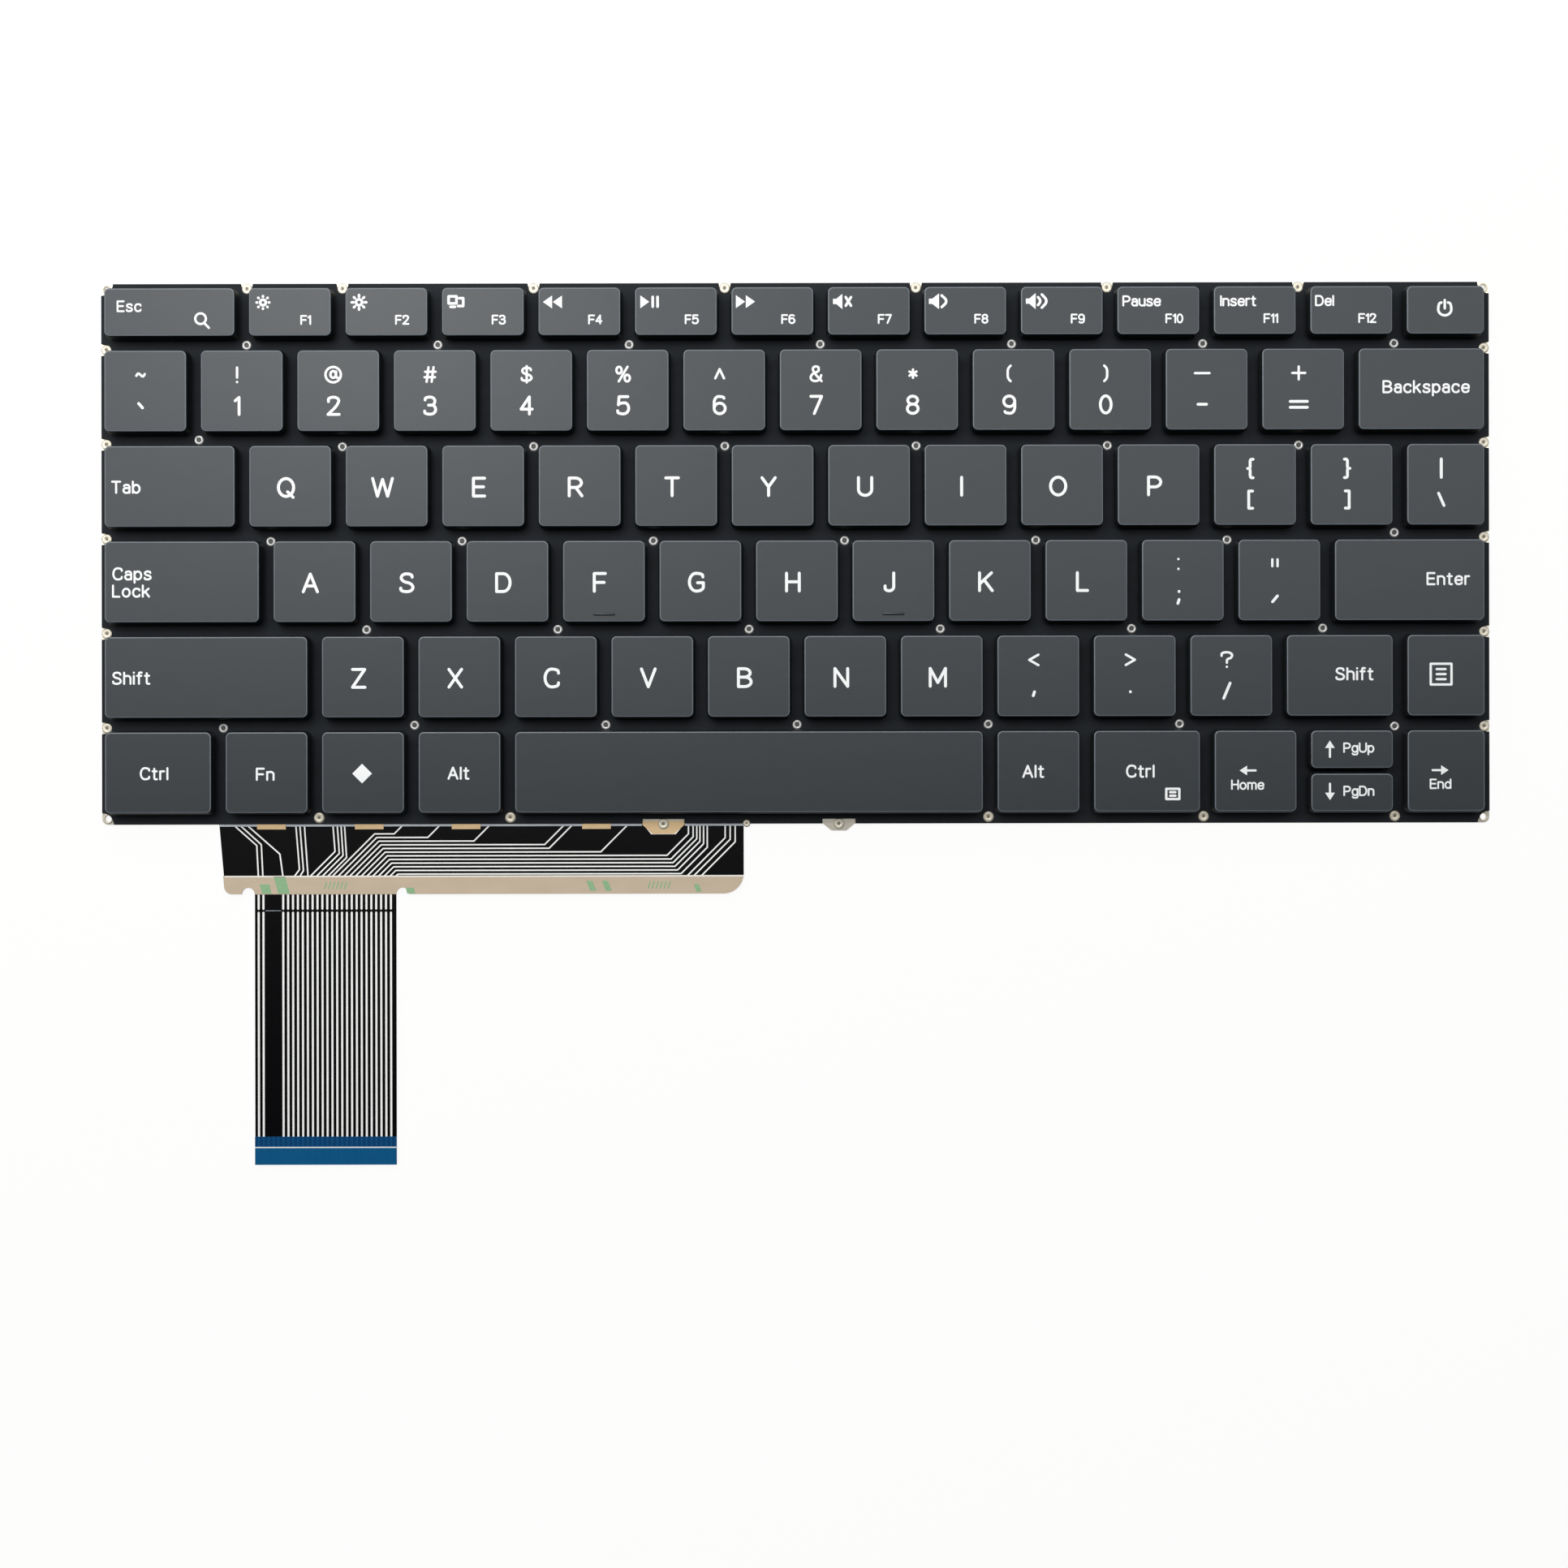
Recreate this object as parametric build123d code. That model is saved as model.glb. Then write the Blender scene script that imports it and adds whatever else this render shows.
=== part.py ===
"""Laptop replacement keyboard: a stamped plate, a switch membrane with its tail, domes, levers and key caps.

Millimetres. The origin is the centre of the plate's underside, +X runs along the rows to the right,
+Y points away from the typist and +Z points up through the key caps.
"""

from build123d import *
from math import asin, atan, atan2, cos, degrees, hypot, pi, sin
import os

# Key grid: widths are counted in key pitches
KEY_PITCH = 19.05
ROW_PITCH = 18.85
KEY_GAP = 2.79
FUNCTION_DEPTH = 9.5
ARROW_SPLIT = 1.0

FUNCTION_ROW = [("escape", 1.5), *[(f"f{n}", 1) for n in range(1, 13)], ("power", 0.95)]
NUMBER_ROW = [("grave", 1), *[(d, 1) for d in "1234567890"], ("minus", 1), ("equals", 1), ("backspace", 1.45)]
UPPER_ROW = [
    ("tab", 1.5),
    *[(c, 1) for c in "qwertyuiop"],
    ("left_bracket", 1),
    ("right_bracket", 1),
    ("backslash", 0.95),
]
HOME_ROW = [("caps_lock", 1.75), *[(c, 1) for c in "asdfghjkl"], ("semicolon", 1), ("quote", 1), ("enter", 1.7)]
LOWER_ROW = [
    ("left_shift", 2.25),
    *[(c, 1) for c in "zxcvbnm"],
    ("comma", 1),
    ("period", 1),
    ("slash", 1),
    ("right_shift", 1.25),
    ("menu", 0.95),
]
SPACE_ROW = [
    ("left_ctrl", 1.25),
    ("fn", 1),
    ("system", 1),
    ("left_alt", 1),
    ("space", 5),
    ("right_alt", 1),
    ("right_ctrl", 1.25),
    ("arrow_left", 1),
    ("arrow_up_down", 1),
    ("arrow_right", 0.95),
]

# Base plate: a stamped sheet with a hook for every key and two ears on its front edge
PLATE_THICKNESS = 0.5
PLATE_CORNER_R = 1.2
LEFT_MARGIN = 1.9
RIGHT_MARGIN = 2.3
BACK_MARGIN = 1.8
FRONT_MARGIN = 2.3
MOUNT_HOLE_R = 0.65
CORNER_HOLE_INSET = 1.2
LEFT_EAR_X = -26.4
LEFT_EAR_WIDTH = 8.0
LEFT_EAR_TIP = 4.6
LEFT_EAR_DEPTH = 1.9
RIGHT_EAR_X = 8.6
RIGHT_EAR_WIDTH = 6.3
RIGHT_EAR_TIP = 3.0
RIGHT_EAR_DEPTH = 1.4
EAR_TIP_R = 0.8
EAR_RELIEF = 0.15
HOOK_WIDTH = 3.0
HOOK_LEG = 0.5
HOOK_RISE = 0.95
HOOK_FLANGE = 0.25
HOOK_REACH = 0.4
HOOK_SLOT_CLEARANCE = 0.2

# Membrane: bonded films over the plate, of which one runs on into the flap and the tail
MEMBRANE_THICKNESS = 0.35
FILM_THICKNESS = 0.15
CORNER_NOTCH = 2.6
FLAP_LEFT_X = -115.0
FLAP_RIGHT_X = -10.4
FLAP_DEPTH = 13.9
FLAP_SLANT = 1.1
FLAP_LEFT_R = 1.6
FLAP_RIGHT_R = 4.0
TAIL_CENTRE_X = -93.8
TAIL_WIDTH = 28.2
TAIL_LENGTH = 53.9
RELIEF_NOTCH_R = 1.3
LINER_WIDTH = 3.7
LINER_THICKNESS = 0.1
STIFFENER_LENGTH = 5.6
STIFFENER_THICKNESS = 0.2

# Key mechanism: two levers crossing about a rubber dome, and a wire under each wide cap
TRAVEL = 1.2
SKIRT_CLEARANCE = 0.1
CEILING_CLEARANCE = 0.1
SEAT_CLEARANCE = 0.05
LEVER_LENGTH = 10.6
LEVER_WIDTH = 12.0
LEVER_BAR = 0.9
LEVER_THICKNESS = 0.45
LEVER_SIDE_CLEARANCE = 0.2
LEVER_END_CLEARANCE = 0.1
DOME_BASE_R = 3.2
DOME_TOP_R = 1.6
DOME_SIDES = 6
DOME_CLEARANCE = 0.2
WIDE_KEY = 1.45
WIRE_R = 0.3
WIRE_SIDES = 6
WIRE_LEG = 8.0
WIRE_INSET = 2.6

# Key caps: hollow, with flared skirts and bevelled top edges
CAP_TOP_THICKNESS = 0.9
CAP_WALL = 0.8
CAP_FLARE = 0.3
CAP_BEVEL = 0.35
CAP_CORNER = 0.7

# Heights that follow from the stack
membrane_top = PLATE_THICKNESS + MEMBRANE_THICKNESS
hook_top = membrane_top + HOOK_RISE
skirt_z = membrane_top + SKIRT_CLEARANCE + TRAVEL
ceiling_z = hook_top + CEILING_CLEARANCE + TRAVEL
cap_height = ceiling_z + CAP_TOP_THICKNESS - skirt_z
lever_rise = ceiling_z - membrane_top - 2 * SEAT_CLEARANCE
mid_z = (ceiling_z + membrane_top) / 2

# Plan sizes that follow from the key grid
row_units = sum(width for _, width in NUMBER_ROW)
cap_depth = ROW_PITCH - KEY_GAP
plate_width = LEFT_MARGIN + row_units * KEY_PITCH - KEY_GAP + RIGHT_MARGIN
plate_depth = BACK_MARGIN + FUNCTION_DEPTH + KEY_GAP + 4 * ROW_PITCH + cap_depth + FRONT_MARGIN
plate_front = -plate_depth / 2
flap_front = plate_front - FLAP_DEPTH
tail_end = flap_front - TAIL_LENGTH
hole_x = plate_width / 2 - CORNER_HOLE_INSET
hole_y = plate_depth / 2 - CORNER_HOLE_INSET
ear_sizes = [
    (LEFT_EAR_X, LEFT_EAR_WIDTH, LEFT_EAR_TIP, LEFT_EAR_DEPTH),
    (RIGHT_EAR_X, RIGHT_EAR_WIDTH, RIGHT_EAR_TIP, RIGHT_EAR_DEPTH),
]


class Key:
    """One key of the grid: the name, centre and size of its cap, and its width in key pitches."""

    def __init__(self, name, x, y, width, depth, units):
        self.name = name
        self.x = x
        self.y = y
        self.width = width
        self.depth = depth
        self.units = units
        hook_room = LEVER_END_CLEARANCE + HOOK_LEG + LEVER_SIDE_CLEARANCE
        self.lever_length = min(LEVER_LENGTH, depth - 2 * (CAP_WALL + hook_room))
        diagonal = hypot(self.lever_length, LEVER_THICKNESS)
        self.lever_tilt = asin(lever_rise / diagonal) - atan2(LEVER_THICKNESS, self.lever_length)

    def at(self, z):
        """The place above the key's centre at a height."""
        return Pos(self.x, self.y, z)

    def hook_y(self):
        """Where the inner face of the key's hook stands, just off the front end of its outer lever."""
        reach = self.lever_length * cos(self.lever_tilt) + LEVER_THICKNESS * sin(self.lever_tilt)
        return self.y - reach / 2 - LEVER_END_CLEARANCE


def lay_row(row, y, depth):
    """Keys of one row from left to right, each a key gap narrower than its pitch."""
    keys = []
    left = -plate_width / 2 + LEFT_MARGIN
    for name, units in row:
        width = units * KEY_PITCH - KEY_GAP
        keys.append(Key(name, left + width / 2, y, width, depth, units))
        left += units * KEY_PITCH
    return keys


def split_arrow_key(keys):
    """The up and down caps share one place in the front row."""
    out = []
    for key in keys:
        if key.name != "arrow_up_down":
            out.append(key)
            continue
        half = (key.depth - ARROW_SPLIT) / 2
        offset = (half + ARROW_SPLIT) / 2
        out.append(Key("arrow_up", key.x, key.y + offset, key.width, half, key.units))
        out.append(Key("arrow_down", key.x, key.y - offset, key.width, half, key.units))
    return out


space_y = plate_front + FRONT_MARGIN + cap_depth / 2
function_y = plate_depth / 2 - BACK_MARGIN - FUNCTION_DEPTH / 2
function_keys = lay_row(FUNCTION_ROW, function_y, FUNCTION_DEPTH)
number_keys = lay_row(NUMBER_ROW, space_y + 4 * ROW_PITCH, cap_depth)
typing_keys = [
    *lay_row(UPPER_ROW, space_y + 3 * ROW_PITCH, cap_depth),
    *lay_row(HOME_ROW, space_y + 2 * ROW_PITCH, cap_depth),
    *lay_row(LOWER_ROW, space_y + ROW_PITCH, cap_depth),
    *split_arrow_key(lay_row(SPACE_ROW, space_y, cap_depth)),
]
all_keys = [*function_keys, *number_keys, *typing_keys]
wide_keys = [key for key in (*number_keys, *typing_keys) if key.units >= WIDE_KEY]


def keycap(key):
    """A hollow cap: flared skirt, cut plan corners, bevelled top edges and a plain cavity."""
    skirt = Rectangle(key.width + 2 * CAP_FLARE, key.depth + 2 * CAP_FLARE)
    skirt = chamfer(skirt.vertices(), CAP_CORNER)
    body = extrude(skirt, cap_height, taper=degrees(atan(CAP_FLARE / cap_height)))
    body = chamfer(body.faces().sort_by(Axis.Z)[-1].edges(), CAP_BEVEL)
    cavity = Rectangle(key.width - 2 * CAP_WALL, key.depth - 2 * CAP_WALL)
    body -= extrude(cavity, cap_height - CAP_TOP_THICKNESS)
    return key.at(skirt_z) * body


def lever(key, width, tilt):
    """A flat ring tilted about X through the middle of the key."""
    window = (width - 2 * LEVER_BAR, key.lever_length - 2 * LEVER_BAR)
    ring = Rectangle(width, key.lever_length) - Rectangle(*window)
    ring = extrude(ring, LEVER_THICKNESS / 2, both=True)
    return key.at(mid_z) * Rot(degrees(tilt), 0, 0) * ring


def lever_pair(key):
    """The outer lever, low at the front, and the inner lever that nests in it, low at the back."""
    inner_width = LEVER_WIDTH - 2 * (LEVER_BAR + LEVER_SIDE_CLEARANCE)
    return [lever(key, LEVER_WIDTH, key.lever_tilt), lever(key, inner_width, -key.lever_tilt)]


def dome(key):
    """A tapered rubber dome that stands on the membrane and reaches up to the cap's ceiling."""
    window = (key.lever_length / 2 - LEVER_BAR) * cos(key.lever_tilt)
    base_r = min(DOME_BASE_R, window - DOME_CLEARANCE)
    top_r = base_r * DOME_TOP_R / DOME_BASE_R
    height = ceiling_z - SEAT_CLEARANCE - membrane_top
    taper = atan((base_r - top_r) * cos(pi / DOME_SIDES) / height)
    foot = RegularPolygon(base_r, DOME_SIDES, rotation=degrees(pi / DOME_SIDES))
    return key.at(membrane_top) * extrude(foot, height, taper=degrees(taper))


def stabilizer_bar(key):
    """A bent wire: its long run lies low behind the levers, and its legs rise to the cap's ceiling."""
    half = key.width / 2 - WIRE_INSET
    tilt = asin((lever_rise - 2 * WIRE_R) / WIRE_LEG)
    path = Polyline((-half, 0), (-half, WIRE_LEG), (half, WIRE_LEG), (half, 0))
    section = Plane(origin=(-half, 0, 0), z_dir=(0, 1, 0)) * RegularPolygon(WIRE_R, WIRE_SIDES)
    wire = sweep(section, path, transition=Transition.RIGHT)
    back_run = key.y + key.depth / 2 - CAP_WALL - WIRE_R - LEVER_SIDE_CLEARANCE
    high_end = Pos(key.x, back_run - WIRE_LEG * cos(tilt), ceiling_z - SEAT_CLEARANCE - WIRE_R)
    return high_end * Rot(-degrees(tilt), 0, 0) * wire


def hook(key):
    """A bent tongue of the plate that stands before the outer lever and reaches over its end."""
    face_y = key.hook_y()
    reach_y = face_y + LEVER_END_CLEARANCE + HOOK_REACH
    outer_y = face_y - HOOK_LEG
    flange_z = hook_top - HOOK_FLANGE
    outline = Polyline(
        (outer_y, PLATE_THICKNESS),
        (face_y, PLATE_THICKNESS),
        (face_y, flange_z),
        (reach_y, flange_z),
        (reach_y, hook_top),
        (outer_y, hook_top),
        close=True,
    )
    profile = Plane(origin=(key.x, 0, 0), x_dir=(0, 1, 0), z_dir=(1, 0, 0)) * make_face(outline)
    return extrude(profile, HOOK_WIDTH / 2, both=True)


def hook_slot(key):
    """The slot in the membrane that the key's hook comes up through."""
    slot = Rectangle(HOOK_WIDTH + 2 * HOOK_SLOT_CLEARANCE, HOOK_LEG + 2 * HOOK_SLOT_CLEARANCE)
    return Pos(key.x, key.hook_y() - HOOK_LEG / 2) * slot


def ear(x, width, tip_width, depth, spare=0.0):
    """The straight-sided outline of a front ear, widened by a spare distance where the membrane clears it."""
    root = MOUNT_HOLE_R + EAR_RELIEF
    tip = plate_front - depth - spare
    half = width / 2 + spare
    tip_half = tip_width / 2 + spare
    outline = Polyline(
        (x - half, plate_front + root),
        (x + half, plate_front + root),
        (x + half, plate_front),
        (x + tip_half, tip),
        (x - tip_half, tip),
        (x - half, plate_front),
        close=True,
    )
    return make_face(outline)


def rounded_ear(sizes):
    """A front ear with round corners at its tip."""
    return fillet(ear(*sizes).vertices().group_by(Axis.Y)[0], EAR_TIP_R)


def base_plate():
    """The stamped plate with its corner holes, front ears and one hook under every cap."""
    outline = RectangleRounded(plate_width, plate_depth, PLATE_CORNER_R)
    outline += [rounded_ear(sizes) for sizes in ear_sizes]
    holes = [Pos(x, y) * Circle(MOUNT_HOLE_R) for x in (-hole_x, hole_x) for y in (-hole_y, hole_y)]
    holes += [Pos(x, plate_front) * Circle(MOUNT_HOLE_R) for x in (LEFT_EAR_X, RIGHT_EAR_X)]
    plate = extrude(outline - holes, PLATE_THICKNESS)
    return plate + [hook(key) for key in all_keys]


def flap_outline():
    """The film in front of the plate: a flap with one slanted end, round corners and two relief notches."""
    outline = Polyline(
        (FLAP_LEFT_X, plate_front),
        (FLAP_RIGHT_X, plate_front),
        (FLAP_RIGHT_X, flap_front),
        (FLAP_LEFT_X + FLAP_SLANT, flap_front),
        close=True,
    )
    flap = make_face(outline)
    front = flap.vertices().group_by(Axis.Y)[0].sort_by(Axis.X)
    flap = fillet(front[0], FLAP_LEFT_R)
    flap = fillet(flap.vertices().group_by(Axis.Y)[0].sort_by(Axis.X)[-1], FLAP_RIGHT_R)
    notch_x = TAIL_WIDTH / 2 + RELIEF_NOTCH_R
    return flap - [Pos(TAIL_CENTRE_X + s * notch_x, flap_front) * Circle(RELIEF_NOTCH_R) for s in (-1, 1)]


def tail_outline():
    """The ribbon that leads from the flap to the connector."""
    return Pos(TAIL_CENTRE_X, flap_front - TAIL_LENGTH / 2) * Rectangle(TAIL_WIDTH, TAIL_LENGTH)


def membrane():
    """The bonded films over the plate, and the one film that goes on as the flap and the tail."""
    cover = Rectangle(plate_width, plate_depth)
    notches = [
        Pos(x, y) * Rectangle(2 * CORNER_NOTCH, 2 * CORNER_NOTCH)
        for x in (-plate_width / 2, plate_width / 2)
        for y in (-plate_depth / 2, plate_depth / 2)
    ]
    ears = [ear(*sizes, spare=EAR_RELIEF) for sizes in ear_sizes]
    cover -= [*notches, *ears, *[hook_slot(key) for key in all_keys]]
    film = (flap_outline() + tail_outline()) - ears
    sheet = extrude(cover, MEMBRANE_THICKNESS) + extrude(film, FILM_THICKNESS)
    return Pos(0, 0, PLATE_THICKNESS) * sheet


def tape_liner():
    """The liner on the adhesive strip along the flap's front edge."""
    strip_y = flap_front + LINER_WIDTH / 2
    strip = Pos((FLAP_LEFT_X + FLAP_RIGHT_X) / 2, strip_y) * Rectangle(FLAP_RIGHT_X - FLAP_LEFT_X, LINER_WIDTH)
    return Pos(0, 0, PLATE_THICKNESS + FILM_THICKNESS) * extrude(flap_outline() & strip, LINER_THICKNESS)


def tail_stiffener():
    """The stiff strip on the tail's end, where the tail goes into its connector."""
    strip = Pos(TAIL_CENTRE_X, tail_end + STIFFENER_LENGTH / 2) * Rectangle(TAIL_WIDTH, STIFFENER_LENGTH)
    return Pos(0, 0, PLATE_THICKNESS + FILM_THICKNESS) * extrude(strip, STIFFENER_THICKNESS)


pieces = {
    "base_plate": base_plate(),
    "membrane": membrane(),
    "tape_liner": tape_liner(),
    "tail_stiffener": tail_stiffener(),
    "rubber_domes": Compound([dome(key) for key in all_keys]),
    "scissor_levers": Compound([piece for key in all_keys for piece in lever_pair(key)]),
    "stabilizer_bars": Compound([stabilizer_bar(key) for key in wide_keys]),
    "function_row_keycaps": Compound([keycap(key) for key in function_keys]),
    "number_row_keycaps": Compound([keycap(key) for key in number_keys]),
}
for key in typing_keys:
    pieces[f"keycap_{key.name}"] = keycap(key)

os.makedirs("parts", exist_ok=True)
for node, shape in pieces.items():
    export_step(shape, f"parts/{node}.step")
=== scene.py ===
"""Dresses the laptop replacement keyboard: caps, key mechanisms, films, eyelets and studio light.

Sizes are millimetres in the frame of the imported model, and become metres when a mesh is written.
"""

import logging
from collections.abc import Sequence
from dataclasses import dataclass
from enum import Enum
from functools import cache
from math import asin, atan2, cos, hypot, pi, radians, sin

import bpy
import numpy as np
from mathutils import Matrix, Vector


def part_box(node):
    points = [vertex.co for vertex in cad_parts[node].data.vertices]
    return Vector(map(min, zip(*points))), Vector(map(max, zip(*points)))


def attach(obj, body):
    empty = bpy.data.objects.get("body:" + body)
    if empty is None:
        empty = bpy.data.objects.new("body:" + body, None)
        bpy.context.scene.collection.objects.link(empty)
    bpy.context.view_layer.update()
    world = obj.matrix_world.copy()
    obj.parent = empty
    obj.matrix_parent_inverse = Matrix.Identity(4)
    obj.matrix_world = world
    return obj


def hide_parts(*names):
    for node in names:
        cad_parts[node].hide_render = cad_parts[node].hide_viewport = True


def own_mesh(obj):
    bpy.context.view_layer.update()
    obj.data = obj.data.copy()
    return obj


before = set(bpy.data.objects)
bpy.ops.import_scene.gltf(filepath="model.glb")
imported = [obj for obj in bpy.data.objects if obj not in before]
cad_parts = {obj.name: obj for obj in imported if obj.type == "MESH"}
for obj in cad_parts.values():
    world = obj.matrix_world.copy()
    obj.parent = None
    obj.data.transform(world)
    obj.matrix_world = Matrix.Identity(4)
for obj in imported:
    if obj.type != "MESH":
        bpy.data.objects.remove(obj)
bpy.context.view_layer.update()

MM = 0.001
KEY_PITCH = 19.05
SHARP_ANGLE = radians(38)
PRINT_LIFT = 0.012
LAYER = 0.003
STROKE_LAYERS = 4
LEAST_MITRE = 0.4
log = logging.getLogger("keyboard")


def linear(red: int, green: int, blue: int) -> tuple[float, float, float, float]:
    """Turns a screen colour into the linear colour that shaders take, by the sRGB curve.

    Args:
        red: Red from 0 to 255.
        green: Green from 0 to 255.
        blue: Blue from 0 to 255.

    Returns:
        Linear red, green and blue, and an alpha of one.
    """
    screen = np.array([red, green, blue]) / 255
    light = np.where(screen <= 0.04045, screen / 12.92, ((screen + 0.055) / 1.055) ** 2.4)
    return (*light.tolist(), 1.0)


def node_box(node: str) -> tuple[np.ndarray, np.ndarray]:
    """The lowest and highest corners of a CAD node, in millimetres."""
    low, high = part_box(node)
    return np.array(low) / MM, np.array(high) / MM


# Shaders


@dataclass(frozen=True)
class Value:
    """A socket whose value varies over a surface. Arithmetic on it adds Math nodes."""

    shader: "Shader"
    socket: bpy.types.NodeSocket

    def math(self, operation: str, first: object, second: object) -> "Value":
        """The result of one Math node on two terms, each a number or a Value."""
        return self.shader.node("ShaderNodeMath", {"operation": operation}, {0: first, 1: second})

    def __add__(self, other: object) -> "Value":
        """Self plus other."""
        return self.math("ADD", self, other)

    def __radd__(self, other: object) -> "Value":
        """Other plus self."""
        return self.math("ADD", other, self)

    def __sub__(self, other: object) -> "Value":
        """Self minus other."""
        return self.math("SUBTRACT", self, other)

    def __mul__(self, other: object) -> "Value":
        """Self times other."""
        return self.math("MULTIPLY", self, other)

    def __gt__(self, other: object) -> "Value":
        """One where self is above other, and zero elsewhere."""
        return self.math("GREATER_THAN", self, other)

    def __lt__(self, other: object) -> "Value":
        """One where self is below other, and zero elsewhere."""
        return self.math("LESS_THAN", self, other)

    def __mod__(self, period: float) -> "Value":
        """Self wrapped into the range from zero to a period."""
        return self.math("FLOORED_MODULO", self, period)


class Shader:
    """A material under construction, with one method for any node."""

    def __init__(self, name: str) -> None:
        """Starts an empty material of that name."""
        self.material = bpy.data.materials.new(name)
        self.material.use_nodes = True
        self.tree = self.material.node_tree
        self.tree.nodes.clear()

    def node(
        self,
        kind: str,
        settings: dict[str, object] | None = None,
        sockets: dict[str | int, object] | None = None,
        output: str | int = 0,
    ) -> Value:
        """Adds a node of any type.

        Args:
            kind: The node's type.
            settings: Properties that are set before its sockets.
            sockets: Numbers, colours or Values for its inputs.
            output: The output to return.

        Returns:
            That output.
        """
        node = self.tree.nodes.new(kind)
        for name, setting in (settings or {}).items():
            setattr(node, name, setting)
        for name, source in (sockets or {}).items():
            if isinstance(source, Value):
                self.tree.links.new(source.socket, node.inputs[name])
            else:
                node.inputs[name].default_value = source
        return Value(self, node.outputs[output])

    def place(self) -> Value:
        """The point on the surface, in the frame's metres."""
        return self.node("ShaderNodeTexCoord", output="Object")

    def noise(self, size: tuple[float, float, float], detail: float = 3.0) -> Value:
        """Adds a cloudy pattern.

        Args:
            size: The size of its clouds along X, Y and Z, in millimetres.
            detail: How many finer layers it has.

        Returns:
            A value from zero to one.
        """
        scale = tuple(1 / (MM * length) for length in size)
        spread = self.node("ShaderNodeMapping", None, {"Vector": self.place(), "Scale": scale})
        return self.node("ShaderNodeTexNoise", None, {"Vector": spread, "Scale": 1.0, "Detail": detail})

    def mix(self, share: Value, first: object, second: object) -> Value:
        """A first colour where a share is zero, and a second one where it is one."""
        settings = {"data_type": "RGBA", "clamp_factor": True}
        return self.node("ShaderNodeMix", settings, {0: share, 6: first, 7: second}, 2)

    def close(self, surface: Value) -> bpy.types.Material:
        """Ends the material with a surface.

        Args:
            surface: The shader that the surface shows.

        Returns:
            The finished material.
        """
        output = self.tree.nodes.new("ShaderNodeOutputMaterial")
        self.tree.links.new(surface.socket, output.inputs["Surface"])
        return self.material


# Finishes


@dataclass(frozen=True)
class Finish:
    """A mottled surface with uneven gloss and a fine raised grain."""

    name: str
    colour: tuple[int, int, int]
    shade: tuple[int, int, int]
    roughness: float = 0.5
    unevenness: float = 0.1
    metallic: float = 0.0
    specular: float = 0.5
    grain: tuple[float, float, float] = (0.12, 0.12, 0.12)
    mottle: tuple[float, float, float] = (6.0, 2.0, 4.0)
    relief: float = 0.004
    strength: float = 0.35

    def tint(self, shader: Shader) -> Value:
        """The base colour, which drifts to its shade in soft clouds."""
        return shader.mix(shader.noise(self.mottle), linear(*self.colour), linear(*self.shade))

    def material(self) -> bpy.types.Material:
        """Builds the material.

        Returns:
            The material, with colour, gloss and grain that vary over the surface.
        """
        shader = Shader(self.name)
        grain = shader.noise(self.grain, 2.0)
        height = {"Height": grain, "Distance": self.relief * MM, "Strength": self.strength}
        surface = shader.node(
            "ShaderNodeBsdfPrincipled",
            None,
            {
                "Base Color": self.tint(shader),
                "Roughness": self.roughness + (grain - 0.5) * self.unevenness,
                "Metallic": self.metallic,
                "Specular IOR Level": self.specular,
                "Normal": shader.node("ShaderNodeBump", None, height),
            },
        )
        return shader.close(surface)


@dataclass(frozen=True)
class ContactFilm(Finish):
    """A coloured stiffener film through which the conductors under it show up to a line."""

    behind: tuple[int, int, int] = (8, 62, 106)
    ghost: tuple[int, int, int] = (16, 84, 136)
    ghost_share: tuple[float, float] = (0.3, 0.6)
    ghost_cloud: tuple[float, float, float] = (0.4, 3.0, 1.0)
    first_x: float = 0.0
    pitch: float = 1.0
    line_width: float = 0.3
    until_y: float = 0.0

    def tint(self, shader: Shader) -> Value:
        """Lays the film's colour, and behind a line a darker one striped at the conductors' pitch.

        Args:
            shader: The material to add nodes to.

        Returns:
            The colour.
        """
        plain, place = super().tint(shader), {0: shader.place()}
        x = shader.node("ShaderNodeSeparateXYZ", None, place, "X")
        y = shader.node("ShaderNodeSeparateXYZ", None, place, "Y")
        least, more = self.ghost_share
        across = (x - (self.first_x - self.line_width / 2) * MM) % (self.pitch * MM)
        share = (across < self.line_width * MM) * (least + shader.noise(self.ghost_cloud) * more)
        striped = shader.mix(share, linear(*self.behind), linear(*self.ghost))
        return shader.mix(y > self.until_y * MM, plain, striped)


@cache
def material_of(finish: Finish) -> bpy.types.Material:
    """The one material of a finish."""
    return finish.material()


KEY_PLASTIC = Finish(
    "key_plastic_matt", (40, 46, 51), (35, 42, 46), 0.39, 0.14, grain=(0.22, 0.1, 0.1), relief=0.006
)
# Painted shade: a darker copy of the key plastic for the caps' walls and lower edge rows.
KEY_WALL_PAINTED_SHADE = Finish("key_wall", (22, 25, 27), (18, 20, 22), specular=0.25)
# Painted highlight: a lighter copy of the key plastic along the caps' upper edge rows.
KEY_EDGE_PAINTED_HIGHLIGHT = Finish("key_edge", (96, 105, 112), (86, 94, 101), 0.42)
LEGEND_INK = Finish("legend_ink", (244, 245, 245), (232, 234, 235), 0.55, specular=0.3)
COVER_FILM = Finish(
    "cover_film", (40, 43, 47), (32, 35, 38), 0.6, 0.2, specular=0.05, grain=(0.2, 0.2, 0.2)
)
CIRCUIT_FILM = Finish(
    "circuit_film", (7, 7, 9), (3, 3, 5), 0.36, 0.12, specular=0.12, grain=(0.4, 0.4, 0.4)
)
FILM_EDGE = Finish("film_edge", (208, 213, 219), (140, 146, 154), 0.4, 0.2, mottle=(5.0, 1.0, 1.0))
SILVER_INK = Finish(
    "silver_ink",
    (250, 250, 248),
    (232, 232, 228),
    0.4,
    0.2,
    grain=(0.15, 0.15, 0.15),
    mottle=(3.0, 3.0, 3.0),
)
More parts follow.
